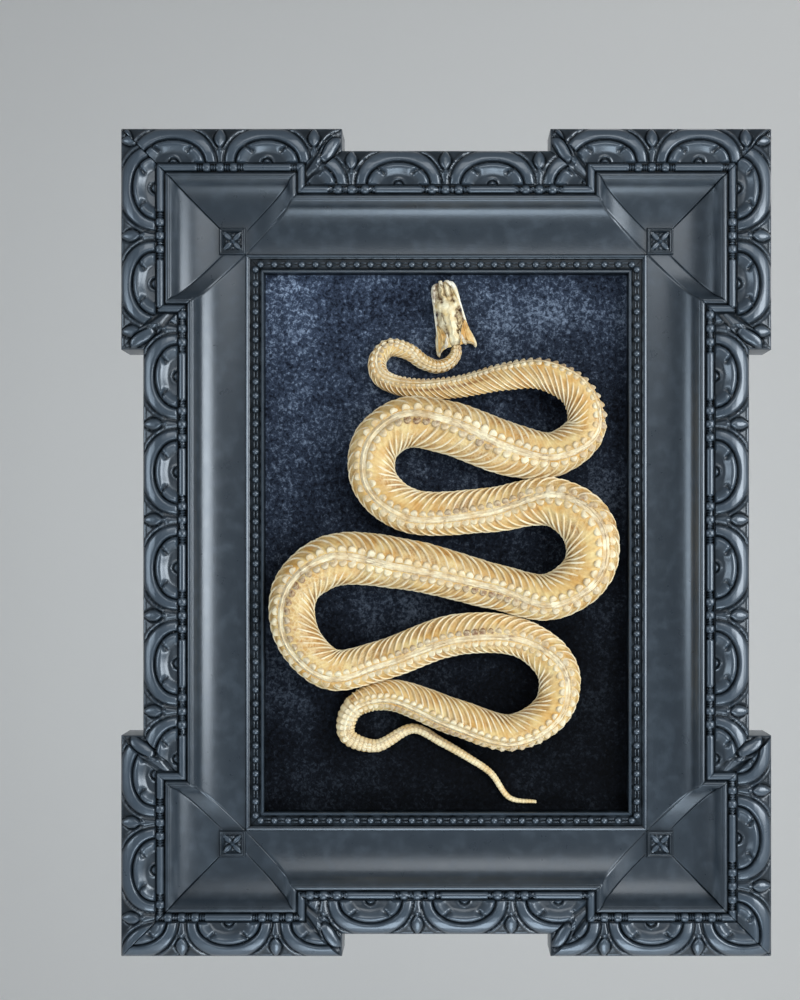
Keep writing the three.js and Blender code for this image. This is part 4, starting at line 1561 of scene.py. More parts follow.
@dataclass
class Backbone:
    """The vertebrae from the skull to the tail's tip."""

    palette: Palette
    growth: Growth
    path: BodyPath

    def build(self) -> None:
        """Builds the vertebrae of each length, then those of the tail."""
        body = self._vertebra_unit("body_vertebra_unit", 0.0, 1.0, 0.8)
        neck = self._vertebra_unit("neck_vertebra_unit", 0.4, 0.4, 0.35)
        tail = self._vertebra_unit("tail_vertebra_unit", 0.12, 0.6, 0.3)
        for name, first, last in self.path.lengths:
            unit = neck if name == "neck" else body
            self._row(f"{name}_vertebrae", unit, first, last, [f"{name}_spine"], False)
        first = self.path.lengths[-1][2]
        self._row("tail_vertebrae", tail, first, len(self.path.joints) - 1, ["tail_spine"], True)
        self._tail_sheath(first)
        self._ridge()
        for unit in (body, neck, tail):
            bpy.data.objects.remove(unit)

    def _vertebra_unit(self, name: str, knob: float, wing: float, gap: float) -> Piece:
        """One vertebra, one unit long and reaching one unit to each side, headwards along +Y.

        Args:
            name: The unit's name.
            knob: The height of a round knob on its middle.
            wing: How far the lobes at its sides stand out.
            gap: How much shade is painted in the gap between two lobes.

        Returns:
            The unit, built so that a scale in millimetres sizes it.
        """
        # Sections from the front: a thin ridge, a shallow valley each side, and a lobe at each wing.
        y = np.array([0.58, 0.38, 0.12, -0.16, -0.38, -0.56])
        reach = np.array([0.44, 0.84, 1.02, 1.06, 0.92, 0.44])
        across = np.array([-1.0, -0.84, -0.58, -0.26, -0.09, 0.0, 0.09, 0.26, 0.58, 0.84, 1.0])
        ridge = np.array([0.10, 0.13, 0.15, 0.17, 0.15, 0.08])
        valley = np.array([-0.04, 0.01, 0.00, -0.04, -0.03, -0.06])
        lobe = wing * np.array([-0.22, 0.08, 0.22, 0.32, 0.30, -0.28])
        dome = knob * np.sqrt(np.clip(1 - (y / 0.5) ** 2, 0, 1))
        ridge, shoulder, valley = ridge + dome, 0.7 * ridge + 0.85 * dome, valley + 0.35 * dome
        tip = np.array([-0.40, -0.22, -0.08, -0.02, -0.12, -0.46])
        rings = []
        tones = []
        for i in range(len(y)):
            inner = 0.5 * (lobe[i] + valley[i])
            heights = np.array([tip[i], lobe[i], inner, valley[i], shoulder[i], ridge[i]])
            heights = np.concatenate([heights, heights[-2::-1]])
            top = np.stack([across * reach[i], np.full(11, y[i]), heights], -1)
            x_under = np.array([0.7, -0.7]) * reach[i]
            under = np.stack([x_under, np.full(2, y[i]), np.full(2, -0.8)], -1)
            rings.append(np.vstack([top, under]))
            # Painted shade: the stain darkens the lobe edges, valleys, the gap at each end and the underside.
            end = gap if i in (0, 5) else 0.0
            crown = 0.6 * end * (knob > 0.2)
            half_tone = [0.35 + end, 0.02 + end, 0.25 + end, 0.35, 0.05 + crown, crown]
            tones.append([*half_tone, *half_tone[-2::-1], 0.8, 0.8])
        made = loft(name, np.array(rings))
        set_attribute(made, "stain", np.array(tones))
        return made

    def _row(self, name: str, unit: Piece, first: int, last: int, nodes: list[str], is_tail: bool) -> None:
        """Sets one vertebra between each pair of joints of a length.

        Args:
            name: The piece's name.
            unit: The vertebra that is copied.
            first: The first joint.
            last: The last joint.
            nodes: The solids that the row stands for.
            is_tail: Whether it lies in the tail, low in its sheath.
        """
        joints = self.path.joints
        s = (joints[first:last] + joints[first + 1 : last + 1]) / 2
        length = joints[first + 1 : last + 1] - joints[first:last]
        lie = self.path.at(s)
        half, rise, spine = lie["half"], lie["rise"], lie["spine"]
        reach = half * 0.6 if is_tail else self.path.reach(half) * (1.45 - 0.23 * self.path.scale(half))
        seat = np.full_like(s, 0.7) if is_tail else 0.45 + 0.1 * reach
        places = self.path.on_body(lie, spine, seat)
        flat = np.stack([half * np.cos(spine), -rise * np.sin(spine)], -1)
        flat = flat / np.linalg.norm(flat, axis=1, keepdims=True)
        rng = np.random.default_rng(first + 3)
        turns, sizes = [], []
        for i in range(len(s)):
            left = Vector((-lie["tz"][i], 0, lie["tx"][i]))
            front = Vector((0, -1, 0))
            across = left * float(flat[i, 0]) + front * float(flat[i, 1])
            headwards = Vector((-lie["tx"][i], 0, -lie["tz"][i]))
            up = across.cross(headwards)
            turn = Matrix((across, headwards, up)).transposed().to_euler()
            turns.append([turn.x, turn.y, turn.z])
            size = float(reach[i]) * rng.uniform(0.96, 1.05)
            high = float(0.6 * rise[i] if is_tail else 0.84 * reach[i])
            sizes.append([size, float(length[i]) * 1.02, high * rng.uniform(0.92, 1.08)])
        made = self.growth.pieces_on(name, unit, places, np.array(turns), np.array(sizes), self.palette.spine)
        self._brown(made, unit, s)
        enrol(made, None, nodes)

    @staticmethod
    def _brown(made: Piece, unit: Piece, s: Array) -> None:
        """Stains the lobes of the snake's right side browner, in slow patches along the body."""
        across = np.array([point.co.x for point in unit.data.vertices])[None, :] / MM
        stain = made.data.attributes["stain"].data
        values = np.zeros(len(stain), np.float32)
        stain.foreach_get("value", values)
        right = 0.28 + 0.26 * ripple(s / 90, 0 * s, 57)[:, None]
        left = 0.04 + 0.1 * ripple(s / 70, 0 * s, 58)[:, None]
        share = smoothstep(-0.15, 0.25, across)
        extra = (left + (right - left) * share) * smoothstep(0.03, 0.12, np.abs(across))
        values = np.clip(values.reshape(len(s), -1) + extra, 0, 1)
        stain.foreach_set("value", values.astype(np.float32).ravel())

    def _ridge(self) -> None:
        """The dried ligament along the top of the vertebrae, and the brown tissue they are bedded in."""
        s = np.arange(NECK_END - 4, self.path.rib_end + 20, 2.5)
        lie = self.path.at(s)
        inset = 0.55 - 0.05 * self.path.reach(lie["half"]) + 0.15 * ripple(s / 9, 0 * s, 59)
        radius = 0.18 + 0.011 * lie["half"] + 0.04 * ripple(s / 14, 0 * s, 60)
        guide = self.path.on_body(lie, lie["spine"], inset)
        stain = np.clip(0.15 + 0.3 * ripple(s / 25, 0 * s, 56), 0, 1)
        reach = self.path.reach(lie["half"])
        bed_radius = 0.85 * reach
        bed = self.path.on_body(lie, lie["spine"], 0.45 + bed_radius)
        made = self.growth.rods_along(
            "spine_ligament",
            [guide, bed],
            [radius, bed_radius],
            self.palette.spine,
            10,
            {"stain": [stain, 0.32 + 0.25 * ripple(s / 18, 0 * s, 61)]},
        )
        enrol(made, None)

    def _tail_sheath(self, first: int) -> None:
        """The dried sheath that the tail's vertebrae sit in, down to the velvet.

        Args:
            first: The tail's first vertebra.
        """
        start, end = self.path.joints[first] + 0.2, self.path.length - 0.3
        s = np.linspace(start, end, 460)[:, None]
        angle = np.linspace(-math.pi, math.pi, 20, endpoint=False)[None, :]
        lie = self.path.at(s + 0 * angle)
        spacing = self.path.spacing(lie["half"])
        index = np.interp(s, self.path.joints, np.arange(len(self.path.joints)))
        notch = np.minimum(index % 1, 1 - index % 1)
        waist = 0.06 * lie["half"] * bell(notch * spacing, 0.22 * spacing)
        inset = 0.03 * lie["half"] + waist + 0.025 * ripple(s / 4, angle, 51, 9) * lie["half"]
        points = self.path.on_body(lie, angle, inset)
        made = loft("tail_sheath", points)
        tip = smoothstep(start, end, s)
        # Painted shade in the waists between the vertebrae, less towards the tip.
        hollow = 0.06 - 0.2 * tip + 6.5 * waist / lie["half"]
        flush = 0.3 - 0.4 * tip + 0.3 * ripple(s / 30, 0 * angle, 52)
        for label, tone in (("hollow", hollow), ("flush", flush)):
            set_attribute(made, label, np.clip(tone, 0, 1) * np.ones_like(inset))
        enrol(made, self.palette.sheath)


# ---- the head ----


@dataclass(frozen=True)
class Bone:
    """One lofted bone: rows of place f, offset r, half-width, low and high, in the head's own frame."""

    rows: tuple[tuple[float, float, float, float, float], ...]
    peak: float = 0.85


@dataclass
class Skull:
    """The skull and jaws, built in the head's own frame: r to its right, f to the snout, and height."""

    palette: Palette
    growth: Growth
    place: tuple[float, float] = (7.6, 175.0)
    tilt: float = math.radians(12)

    def to_world(self, local: Array) -> Array:
        """Turns rows of r, f and height into the object's frame.

        Args:
            local: Rows of r, f and height.

        Returns:
            The points in the object's frame.
        """
        r, f, height = local[..., 0], local[..., 1], local[..., 2]
        c, s = math.cos(self.tilt), math.sin(self.tilt)
        return np.stack([self.place[0] + r * c - f * s, -height, self.place[1] + r * s + f * c], -1)

    def build(self) -> None:
        """Builds the cranium, then each side's bones."""
        self._cranium()
        self._knobs_and_bars()
        for name, side, joint in (("left", -1, (15.8, -8.0)), ("right", 1, (17.0, -6.0))):
            self._upper_jaw(name, side)
            self._lower_jaw(name, side, joint)
            self._quadrate(name, side, joint)
            self._eye(name, side)

    def _lofted(
        self,
        bone: Bone,
        side: int = 1,
        rings: int = 40,
        sides: int = 22,
        detail: Callable[[Array, Array, Array], tuple[Array, Array]] | None = None,
    ) -> Piece:
        """Lofts a bone through its rows, with rounded ends.

        Args:
            bone: The bone's rows.
            side: 1 for the right, -1 for the left.
            rings: How many sections it gets.
            sides: How many points each section has.
            detail: Gives the height of small forms and the stain with painted shade, from f, r and the
                section's angle.

        Returns:
            The bone.
        """
        rows = catmull_rom(np.array(bone.rows, float), 24)
        rows = rows[np.linspace(0, len(rows) - 1, rings).round().astype(int)]
        f, r, half, low, high = (column[:, None] for column in rows.T)
        from_end = np.minimum(np.arange(rings), rings - 1 - np.arange(rings))[:, None]
        end = np.clip(from_end / 2.5, 0.12, 1) ** 0.5
        angle = full_turn(sides)[None, :] + math.pi / sides
        across = np.sign(np.cos(angle)) * np.abs(np.cos(angle)) ** bone.peak * half * end
        up = np.sign(np.sin(angle)) * np.abs(np.sin(angle)) ** bone.peak * (high - low) / 2 * end
        middle = (low + high) / 2
        raised, stain = np.zeros_like(across), np.zeros_like(across)
        if detail is not None:
            raised, stain = detail(f + 0 * across, r + across, angle + 0 * across)
        length = np.hypot(across, up) + 1e-6
        grow = 1 + np.clip(raised / length, -0.75, 0.75)
        local = np.stack([side * (r + across * grow), f + 0 * across, middle + up * grow], -1)
        made = loft("bone", self.to_world(local))
        set_attribute(made, "stain", np.clip(stain, 0, 1))
        return made

    def _cranium(self) -> None:
        """The braincase, brow and snout, fused with the tissue dried in the temples, as one relief."""
        rows, columns = 61, 150
        f = np.linspace(52.9, -2.5, columns)[:, None]
        t = np.linspace(-1, 1, rows)[None, :]
        # Place, half-widths of the tissue and of the bone, and the heights of the crown and the flank.
        sections = (
            (54.6, 4.4, 3.0, 17.4, 15.2), (53, 6.6, 6.0, 19.4, 17), (50, 7.8, 7.4, 21.2, 18.6),
            (46, 8.6, 8.0, 22.4, 19.4), (40, 9.0, 8.2, 23.8, 19.6), (36.5, 9.8, 8.8, 25.4, 20.6),
            (33, 10.8, 9.9, 26.8, 22.2), (30, 10.9, 9.2, 27.6, 22.4), (26, 10.8, 6.3, 27.5, 20.2),
            (22, 11.2, 4.9, 27.1, 19.6), (18, 11.4, 4.8, 26.8, 19.8), (14, 10.6, 4.4, 26.2, 20.2),
            (9, 9.0, 3.9, 25.0, 20.4), (4, 7.4, 3.6, 23.4, 20.2), (0, 5.2, 3.4, 21.2, 18.8),
            (-2.5, 3.6, 3.0, 18.6, 16.8),
        )
        place, *tables = np.array(sections).T
        wide, bone, crown, flank = (np.interp(-f, -place, table) for table in tables)
        r = t * wide
        round_over = 2.5 - 0.8 * smoothstep(28, 20, f)
        height = crown + (flank - crown) * np.abs(t) ** round_over
        raised, stain = self._cranium_detail(f + 0 * r, r, np.abs(r) - bone)
        height = height + raised * (1 - np.abs(t) ** 12)
        low = np.interp(-f, [-54.6, -50, -30, 0, 2.5], [14.6, 13.8, 14.6, 15.0, 15.6])
        low = np.minimum(low, height.min(1, keepdims=True) - 1.0)
        under_t = np.array([0.92, 0.4, -0.4, -0.92])[None, :]
        top = np.stack([r, f + 0 * r, height], -1)
        under = np.stack([under_t * wide, f + 0 * under_t * wide, low + 0 * under_t * wide], -1)
        made = loft("skull_cranium", self.to_world(np.concatenate([top, under], 1)))
        # The underside gets a painted shade.
        set_attribute(made, "stain", np.clip(np.concatenate([stain, np.full((columns, 4), 0.7)], 1), 0, 1))
        enrol(made, self.palette.bone, ["cranium"])

    @staticmethod
    def _cranium_detail(f: Array, r: Array, beyond: Array) -> tuple[Array, Array]:
        """Nasal bones, brow, sutures, crest and temples of the head's upper side.

        Args:
            f: Place towards the snout.
            r: Place to the right.
            beyond: How far outside the bone a point lies.

        Returns:
            The raised height, and the stain with painted shade in the hollows.
        """
        # Nothing on a dried head is ruled with a straightedge, so the places are warped first.
        warp = ripple(f / 11, r / 9, 64)
        f, r = f + 0.9 * warp, r + 0.55 * ripple(f / 8, r / 8, 65)
        beyond = beyond + 0.7 * ripple(f / 6, r / 6, 66)
        # Partly brown stain, partly painted shade: darker in gutters, pits, furrows, sockets and folds,
        # lighter on crests.
        side = np.abs(r)
        grain = ripple(f / 7, r / 2.2, 61, 11)
        crumble = ripple(f / 3.0, r / 3.0, 63, 13)
        # Snout: two long nasal bones with a slot between them, and a sunken, dark strip at each side.
        snout = smoothstep(36.0, 39.0, f)
        nasal = bell(side - 2.0, 1.1) * smoothstep(52.5, 49.5, f)
        slot = bell(r, 0.55) * smoothstep(54, 51, f)
        gutter = bell(side - 5.3, 1.3) * smoothstep(54, 50, f)
        streak = ripple(f / 16, r / 1.5, 68, 11)
        raised = snout * (1.4 * nasal - 1.0 * slot - 2.1 * gutter + 0.3 * grain + 0.25 * streak)
        stain = snout * (0.46 + 0.5 * gutter + 0.4 * slot - 0.22 * nasal + 0.15 * grain + 0.34 * streak)
        stain = stain + 0.6 * smoothstep(50.8, 52.6, f)
        # Brow: rounded humps over the eyes, and a crumbled pit where brow and snout meet.
        brow = bell(side - 7.6, 2.3) * bell(f - 32.2, 3.6)
        pit = bell(side - 5.0, 2.0) * bell(f - 35.2, 1.9) * (1 + 0.5 * crumble)
        suture = bell(f - 36.2 + 0.25 * side, 0.7) + 0.45 * bell(f - 26.2 - 0.25 * side, 0.6)
        roof = smoothstep(0.4, -0.8, beyond)
        raised = raised + 1.1 * brow - 1.8 * pit - 0.2 * suture * roof
        blotch = np.clip(ripple(f / 9, r / 7, 67), 0, 1)
        patches = 0.1 * np.clip(crumble, 0, 1) + 0.22 * blotch
        stain = stain + 0.85 * pit + 0.22 * suture * roof + patches * (1 - snout)
        # Crown: a raised midline that becomes a sharp crest behind the eyes.
        rear = smoothstep(27, 22, f)
        crest = bell(r, 0.95) * rear * smoothstep(-1, 3, f)
        seam = bell(r, 0.4) * smoothstep(26, 29, f) * smoothstep(36, 34, f)
        raised = raised + 1.3 * crest - 0.2 * seam
        stain = stain - 0.2 * crest
        # Temples: tissue sunk beside the braincase, smooth on the left and crumpled on the right.
        temple = smoothstep(-0.4, 1.2, beyond) * smoothstep(29, 26.5, f) * smoothstep(1.5, 6, f)
        dome = bell(side - 7.4, 2.8) * bell(f - 20.5, 5.0)
        rim = bell(side - 10.9, 0.8) * smoothstep(29, 25, f) * smoothstep(10, 15, f)
        furrow = bell(beyond - 0.6, 0.8) * smoothstep(29, 26, f) * smoothstep(2, 6, f)
        folds = np.where(r > 0, 0.85 * crumble, 0.25 * grain)
        raised = raised + temple * (-2.0 + folds) + 2.2 * dome * temple - 1.0 * furrow - 0.8 * rim
        dark_folds = np.where(r > 0, 0.4 * np.clip(-crumble, 0, 1) + 0.12, 0.0)
        stain = stain + temple * (0.3 + dark_folds) + 0.6 * furrow - 0.08 * dome * temple + 0.5 * rim
        socket = bell(side - 9.9, 1.3) * bell(f - 26.6, 2.3)
        raised = raised - 1.5 * socket
        stain = stain + 0.7 * socket + 0.35 * smoothstep(3, -2, f)
        return raised + 0.1 * crumble, stain

    def _knobs_and_bars(self) -> None:
        """The snout's two rounded ends, one of them worn brown with painted shade below, and the bar behind
        each temple.
        """
        left = (
            (55.2, -1.6, 1.0, 14.6, 17.6), (53.8, -1.6, 1.8, 14.0, 20.0), (51, -1.5, 1.8, 14.2, 21.2),
            (47.5, -1.4, 1.1, 15.0, 21.4),
        )
        right = (
            (54.6, 3.7, 1.0, 14.8, 17.4), (53.4, 4.1, 2.2, 14.2, 19.8), (50.8, 5.6, 1.9, 14.2, 21.0),
            (47.8, 7.2, 1.0, 15.0, 21.4),
        )
        bar = (
            (9, 5.4, 0.8, 19.4, 21.9), (4, 6.2, 1.5, 19.0, 22.0), (-1, 7.6, 1.7, 18.2, 21.1),
            (-4.5, 9.0, 1.2, 17.4, 19.8),
        )
        shapes = (
            (left, 1, 16, self._worn),
            (right, 1, 16, self._blade_detail),
            (bar, -1, 12, self._tanned),
            (bar, 1, 12, self._tanned),
        )
        pieces = [
            self._lofted(Bone(rows), side, 20, points, detail) for rows, side, points, detail in shapes
        ]
        enrol(join("skull_details", pieces), self.palette.jaw)

    @staticmethod
    def _worn(f: Array, r: Array, angle: Array) -> tuple[Array, Array]:
        """Slight unevenness, a light stain and painted shade on the underside for the smaller bones.

        Args:
            f: Forward places in the head.
            r: Places to the side.
            angle: Turn round the bone.

        Returns:
            How far the surface moves, and how stained and shaded it is.
        """
        raised = 0.1 * ripple(f / 3.5, r / 3.5 + angle / 3, 71, 9)
        stain = 0.12 + 0.35 * smoothstep(0.0, -0.7, np.sin(angle)) + 0.15 * ripple(f / 6, angle / 4, 72)
        return raised, stain

    @classmethod
    def _tanned(cls, f: Array, r: Array, angle: Array) -> tuple[Array, Array]:
        """The same with dried tissue left on it, browner towards the back."""
        raised, stain = cls._worn(f, r, angle)
        return raised, stain + 0.3 + 0.15 * smoothstep(4, -4, f)

    def _tooth_unit(self) -> Piece:
        """A recurved tooth, one unit tall along +Z, leaning back along -Y.

        Returns:
            The tooth, to be copied.
        """
        rings = []
        angle = full_turn(6)
        sections = ((-0.15, 0.26, 0.0), (0.2, 0.25, 0.05), (0.6, 0.16, 0.30), (1.0, 0.03, 0.72))
        for height, radius, back in sections:
            ring = [0.9 * radius * np.cos(angle), radius * np.sin(angle) - back, np.full(6, height)]
            rings.append(np.stack(ring, -1))
        made = loft("tooth_unit", np.array(rings))
        set_attribute(made, "stain", np.repeat([0.5, 0.2, 0.0, 0.0], 6))
        return made

    def _teeth(self, rows: tuple, side: int, row: tuple, tall: float, up: int) -> Piece:
        """A row of teeth along a jaw.

        Args:
            rows: The jaw's rows, for its middle line.
            side: 1 for the right, -1 for the left.
            row: First and last place, count, gum height and outward offset.
            tall: The height of the longest tooth.
            up: 1 where the teeth stand up, -1 where they hang.

        Returns:
            The teeth as one piece.
        """
        first, last, count, gum, outward = row
        line = np.array(rows, float)
        f = np.linspace(first, last, count)
        r = np.interp(-f, -line[:, 0], line[:, 1]) + outward
        places = self.to_world(np.stack([side * r, f, np.full(count, gum)], -1))
        c, s = math.cos(self.tilt), math.sin(self.tilt)
        headwards = Vector((-s, 0, c))
        stand = Vector((0, -up, 0))
        right = headwards.cross(stand)
        turn = Matrix((right, headwards, stand)).transposed().to_euler()
        turns = np.tile([turn.x, turn.y, turn.z], (count, 1))
        size = tall * np.interp(np.linspace(0, 1, count), [0, 0.25, 1], [0.85, 1.0, 0.62])
        unit = self._tooth_unit()
        sizes = np.stack([size * 0.85, size * 0.85, size], -1)
        made = self.growth.pieces_on("teeth", unit, places, turns, sizes, self.palette.bone)
        bpy.data.objects.remove(unit)
        return made

    def _upper_jaw(self, name: str, side: int) -> None:
        """The maxilla with its teeth: a smooth white blade, broad at the snout.

        Args:
            name: The side's name.
            side: 1 for the right, -1 for the left.
        """
        rows = (
            (53.6, 5.2, 1.0, 13.8, 16.8), (51.8, 6.8, 2.3, 13.2, 19.8), (47.8, 8.8, 2.3, 12.9, 21.9),
            (42, 9.9, 2.0, 12.8, 22.4), (36, 10.6, 1.6, 12.8, 21.4), (29, 11.4, 1.3, 12.8, 19.0),
            (20, 12.2, 1.35, 12.9, 17.0), (12, 13.0, 1.2, 13.2, 16.6), (6, 13.5, 0.9, 13.6, 16.0),
        )
        worn = self._stained_blade if side < 0 else self._blade_detail
        blade = self._lofted(Bone(rows, 0.8), side, 60, 24, worn)
        teeth = self._teeth(rows, side, (50.5, 14.0, 15, 13.1, 0.5), 3.7, -1)
        made = join(f"maxilla_{name}", [blade, teeth])
        enrol(made, self.palette.jaw, [f"upper_jaw_{name}"])
        self._palate_bar(name, side)

    def _palate_bar(self, name: str, side: int) -> None:
        """The slim bar of the palate, from the snout to the jaw joint, seen through the temple.

        Args:
            name: The side's name.
            side: 1 for the right, -1 for the left.
        """
        line = ((5.2, 46, 14.2), (5.6, 34, 14.4), (6.4, 22, 14.6), (8.2, 10, 15.0), (11.4, -3, 14.4))
        guide = catmull_rom(np.array(line) * (side, 1, 1), 5)
        radius = np.interp(np.linspace(0, 1, len(guide)), [0, 0.4, 0.8, 1], [0.7, 1.1, 1.3, 0.6])
        self._rod_bone(f"palate_bar_{name}", guide, radius, np.full(len(guide), 0.45))

    def _rod_bone(self, name: str, guide: Array, radius: Array, stain: Array) -> None:
        """A slim round bone along a guide in the head's own frame."""
        made = self.growth.rods_along(
            name, [self.to_world(guide)], [radius], self.palette.bone, 10, {"stain": [stain]}
        )
        enrol(made, None)

    @staticmethod
    def _blade_detail(f: Array, r: Array, angle: Array) -> tuple[Array, Array]:
        """Sockets along the gum edge and small holes on the cheek of a jaw bone.

        Args:
            f: Forward places in the head.
            r: Places to the side.
            angle: Turn round the bone.

        Returns:
            How far the surface moves, and how stained and shaded it is.
        """
        low = smoothstep(-0.2, -0.8, np.sin(angle))
        sockets = low * (0.5 + 0.5 * np.cos(f * 2 * math.pi / 2.6))
        holes = bell(np.abs((f % 7.5) - 3.7), 0.6) * bell(np.sin(angle) - 0.15, 0.25) * smoothstep(26, 34, f)
        raised = -0.35 * sockets - 0.4 * holes + 0.08 * ripple(f / 5, angle / 2, 81, 9)
        inner = smoothstep(0.2, 0.9, -np.cos(angle))
        # Painted shade in the sockets and holes; the inner side is darker too.
        stain = 0.5 * sockets + 0.6 * holes + 0.14 * ripple(f / 9, angle / 3, 82) + 0.35 * inner
        return raised, stain

    @classmethod
    def _stained_blade(cls, f: Array, r: Array, angle: Array) -> tuple[Array, Array]:
        """The same jaw bone where tissue has dried brown over its inner half.

        Args:
            f: Forward places in the head.
            r: Places to the side.
            angle: Turn round the bone.

        Returns:
            How far the surface moves, and how stained and shaded it is.
        """
        raised, stain = cls._blade_detail(f, r, angle)
        inner = smoothstep(0.85, 0.2, np.cos(angle)) * smoothstep(30, 36, f)
        return raised, stain + 0.12 + 0.5 * inner + 0.2 * ripple(f / 6, angle / 2, 83)

    def _lower_jaw(self, name: str, side: int, joint: tuple[float, float]) -> None:
        """The dentary and the rear half of the lower jaw, with its teeth, resting on the velvet.

        Args:
            name: The side's name.
            side: 1 for the right, -1 for the left.
            joint: The jaw joint's r and f.
        """
        r, f = joint
        low = REST_HEIGHT + 0.05
        rows = (
            (51.4, 1.6, 0.9, low, 11.2), (49.5, 3.4, 1.4, low, 12.0), (45, 5.8, 1.5, low, 12.3),
            (36, 8.2, 1.5, low, 12.3), (26, 10.2, 1.7, low, 12.5), (20, 11.2, 1.9, low, 12.9),
            (12, 12.4, 1.9, low, 13.0), (4, (13.4 + r) / 2, 1.9, low, 13.1), (f + 2, r, 1.7, low + 0.3, 13.0),
            (f - 1.5, r, 1.0, low + 0.8, 12.0),
        )
        blade = self._lofted(Bone(rows), side, 60, 18, self._blade_detail)
        teeth = self._teeth(rows, side, (48.5, 19.0, 13, 12.0, -0.1), 2.9, 1)
        made = join(f"mandible_{name}", [blade, teeth])
        enrol(made, self.palette.bone, [f"lower_jaw_{name}"])

    def _quadrate(self, name: str, side: int, joint: tuple[float, float]) -> None:
        """The quadrate bone and the three-cornered sheet of tissue dried between it and the braincase.

        Args:
            name: The side's name.
            side: 1 for the right, -1 for the left.
            joint: The jaw joint's r and f.
        """
        r, f = joint
        inner = ((10.4, 15.5, 20.0), (7.6, 9, 22.0), (5.4, 1.5, 22.2), (3.6, -4, 20.2))
        heel = (r - 0.2, f - 0.4, 14.6)
        outer = ((12.8, 17.5, 17.4), (r - 2.2, f + 15, 17.4), (r - 0.7, f + 6, 16.2), heel)
        inner, outer = (catmull_rom(np.array(line), 8) for line in (inner, outer))
        share = np.linspace(0, 1, 25)[None, :, None]
        sheet = inner[:, None, :] * (1 - share) + outer[:, None, :] * share
        belly = np.sin(math.pi * share[..., 0])
        crease = ripple(sheet[..., 1] / 10, share[..., 0] * 1.6, 91 + side, 9)
        along = np.linspace(0, 1, len(inner))[:, None]
        ridge = bell(share[..., 0] - 0.35 - 0.3 * along, 0.1)
        sag = belly * (1.1 + 0.6 * crease - 1.5 * ridge)
        pull = belly * smoothstep(0.55, 1.0, np.linspace(0, 1, len(inner)))[:, None]
        sheet = sheet + np.stack([0 * sag, 2.2 * pull, -sag], -1)
        thick = 0.9
        ring_top = sheet * (side, 1, 1)
        ring_low = (sheet - (0, 0, thick))[:, ::-1] * (side, 1, 1)
        made = loft(f"quadrate_sheet_{name}", self.to_world(np.concatenate([ring_top, ring_low], 1)))
        fine = ripple(sheet[..., 1] / 4.5, share[..., 0] * 3, 97 + side, 9)
        rim = smoothstep(0.7, 0.92, along)
        # Painted shade in the sheet's sag and underside; the ridge and rim are kept lighter as painted
        # highlight.
        sag_shade = np.clip(0.05 + 0.5 * belly * (0.5 + 0.4 * crease + 0.4 * fine) - 0.5 * ridge - 0.5 * rim, 0, 1)
        blush = np.clip(0.25 * belly * (0.5 - 0.5 * crease), 0, 1)
        set_attribute(made, "hollow", np.concatenate([sag_shade, sag_shade[:, ::-1] + 0.4], 1))
        set_attribute(made, "flush", np.concatenate([blush, blush], 1))
        enrol(made, self.palette.membrane, [f"quadrate_{name}"])
        bend = ((9 + r) / 2 + 1.2, f + 2.4, 16.2)
        line = ((8.2, -1, 20.6), (10.6, -2, 18.7), bend, (r - 0.2, f + 0.6, 13.8))
        guide = catmull_rom(np.array(line) * (side, 1, 1), 6)
        run = np.linspace(0, 1, len(guide))
        radius = np.interp(run, [0, 0.3, 0.8, 1], [1.2, 0.8, 0.8, 1.2])
        stain = np.interp(run, [0, 0.3, 0.8, 1], [0.3, 0.75, 0.7, 0.4])
        self._rod_bone(f"quadrate_bone_{name}", guide, radius, stain)

    def _eye(self, name: str, side: int) -> None:
        """The shrunken eye, with wrinkles that run round it.

        Args:
            name: The side's name.
            side: 1 for the right, -1 for the left.
        """
        turn = np.linspace(0, math.pi, 18)[:, None]
        angle = full_turn(24)[None, :]
        wrinkle = 1 + 0.06 * np.sin(5 * turn + 0.8 * np.sin(3 * angle))
        wrinkle = wrinkle + 0.03 * ripple(turn, angle / 3, 95, 9)
        ring = np.maximum(np.sin(turn), 0.03) * wrinkle
        f = 26.3 + 2.9 * np.cos(turn) + 0 * angle
        r = 10.2 + 1.4 * ring * np.cos(angle)
        height = 18.3 + 2.4 * ring * np.sin(angle)
        made = loft(f"dried_eye_{name}", self.to_world(np.stack([side * r, f, height], -1)))
        enrol(made, self.palette.eye, [f"eye_{name}"])


# ---- stage, light and camera ----


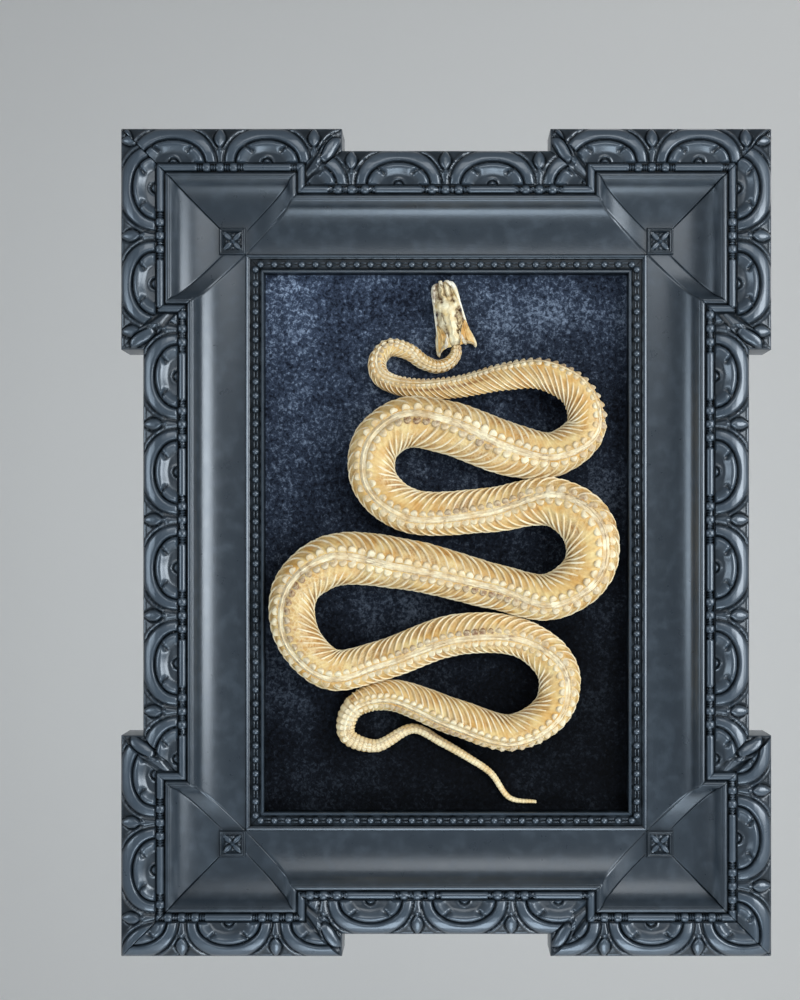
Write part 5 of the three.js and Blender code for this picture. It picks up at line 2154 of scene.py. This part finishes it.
@dataclass
class Studio:
    """The pale stage, the soft lights and the camera, in metres."""

    palette: Palette
    distance: float = 1.218
    focal_px: float = 1375.7
    centre_px: tuple[float, float] = (446.2, 542.5)
    image_px: tuple[int, int] = (800, 1000)

    def build(self) -> None:
        """Sets the stage, the lights and the camera."""
        self._stage()
        self._light("window", (1.5, -1.2, 0.12), 1.1, 35.0, (0.88, 0.94, 1.0))
        self._light("overhead", (0.15, -1.6, 1.0), 1.0, 9.0, (0.96, 0.98, 1.0))
        self._light("fill", (-1.65, -0.9, 0.1), 0.8, 11.0, (0.74, 0.87, 1.0))
        self._light("sky_below", (0.05, -0.75, -1.1), 0.6, 7.0, (0.72, 0.86, 1.0))
        self._light("back", (1.4, 2.0, 1.6), 2.4, 14.0, (1.0, 1.0, 1.0))
        world = bpy.data.worlds.new("studio_air")
        world.use_nodes = True
        ground = world.node_tree.nodes["Background"]
        ground.inputs["Color"].default_value = linear("#dfe4ea")
        ground.inputs["Strength"].default_value = 0.27
        bpy.context.scene.world = world
        view = bpy.context.scene.view_settings
        view.view_transform = "Standard"
        view.look = "None"
        self._camera()

    def _stage(self) -> None:
        """A floor that curves up into a far wall."""
        angle = np.linspace(0, math.pi / 2, 14)
        floor, back, bend = -1300.0, 2300.0, 900.0
        line = [(-3200.0, floor)]
        line += [(back - bend + bend * math.sin(a), floor + bend - bend * math.cos(a)) for a in angle]
        line.append((back, 3200.0))
        points = np.array([(x, y, z) for x in (-3600.0, 3600.0) for y, z in line])
        sweep = make_object("studio_sweep", points, grid_faces(len(line), 2, False))
        sweep.data.materials.append(self.palette.paper)

    @staticmethod
    def _light(name: str, place: tuple, size: float, power: float, colour: tuple) -> None:
        """One square soft light that looks at the frame's middle.

        Args:
            name: The light's name.
            place: Where it stands, in metres.
            size: Its width, in metres.
            power: Its power in watts.
            colour: Its linear colour.
        """
        data = bpy.data.lights.new(name, "AREA")
        data.size = size
        data.energy = power
        data.color = colour
        lamp = bpy.data.objects.new(name, data)
        lamp.visible_camera = False
        lamp.location = place
        lamp.rotation_euler = (-Vector(place)).to_track_quat("-Z", "Y").to_euler()
        bpy.context.scene.collection.objects.link(lamp)

    def _camera(self) -> None:
        """A camera square to the frame, shifted so that the frame sits off centre."""
        wide, high = self.image_px
        data = bpy.data.cameras.new("camera")
        data.sensor_width = 36.0
        data.lens = self.focal_px / high * data.sensor_width
        data.shift_x = (wide / 2 - self.centre_px[0]) / high
        data.shift_y = (self.centre_px[1] - high / 2) / high
        data.clip_end = 30.0
        camera = bpy.data.objects.new("camera", data)
        camera.location = (0, -self.distance, 0)
        camera.rotation_euler = (math.pi / 2, 0, 0)
        bpy.context.scene.collection.objects.link(camera)
        bpy.context.scene.camera = camera


def corners(box: tuple) -> list[list[float]]:
    """A box's two corners as plain lists."""
    return [list(corner) for corner in box]


def main() -> None:
    """Builds every part in order."""
    logging.basicConfig(level=logging.INFO, format="%(name)s: %(message)s")
    palette = Palette()
    growth = Growth()
    path = BodyPath()
    CarvedFrame(palette, growth).build()
    VelvetPanel(palette).build()
    RibCage(palette, growth, path).build()
    Backbone(palette, growth, path).build()
    Skull(palette, growth).build()
    Studio(palette).build()
    bpy.context.view_layer.update()


if __name__ == "__main__":
    main()
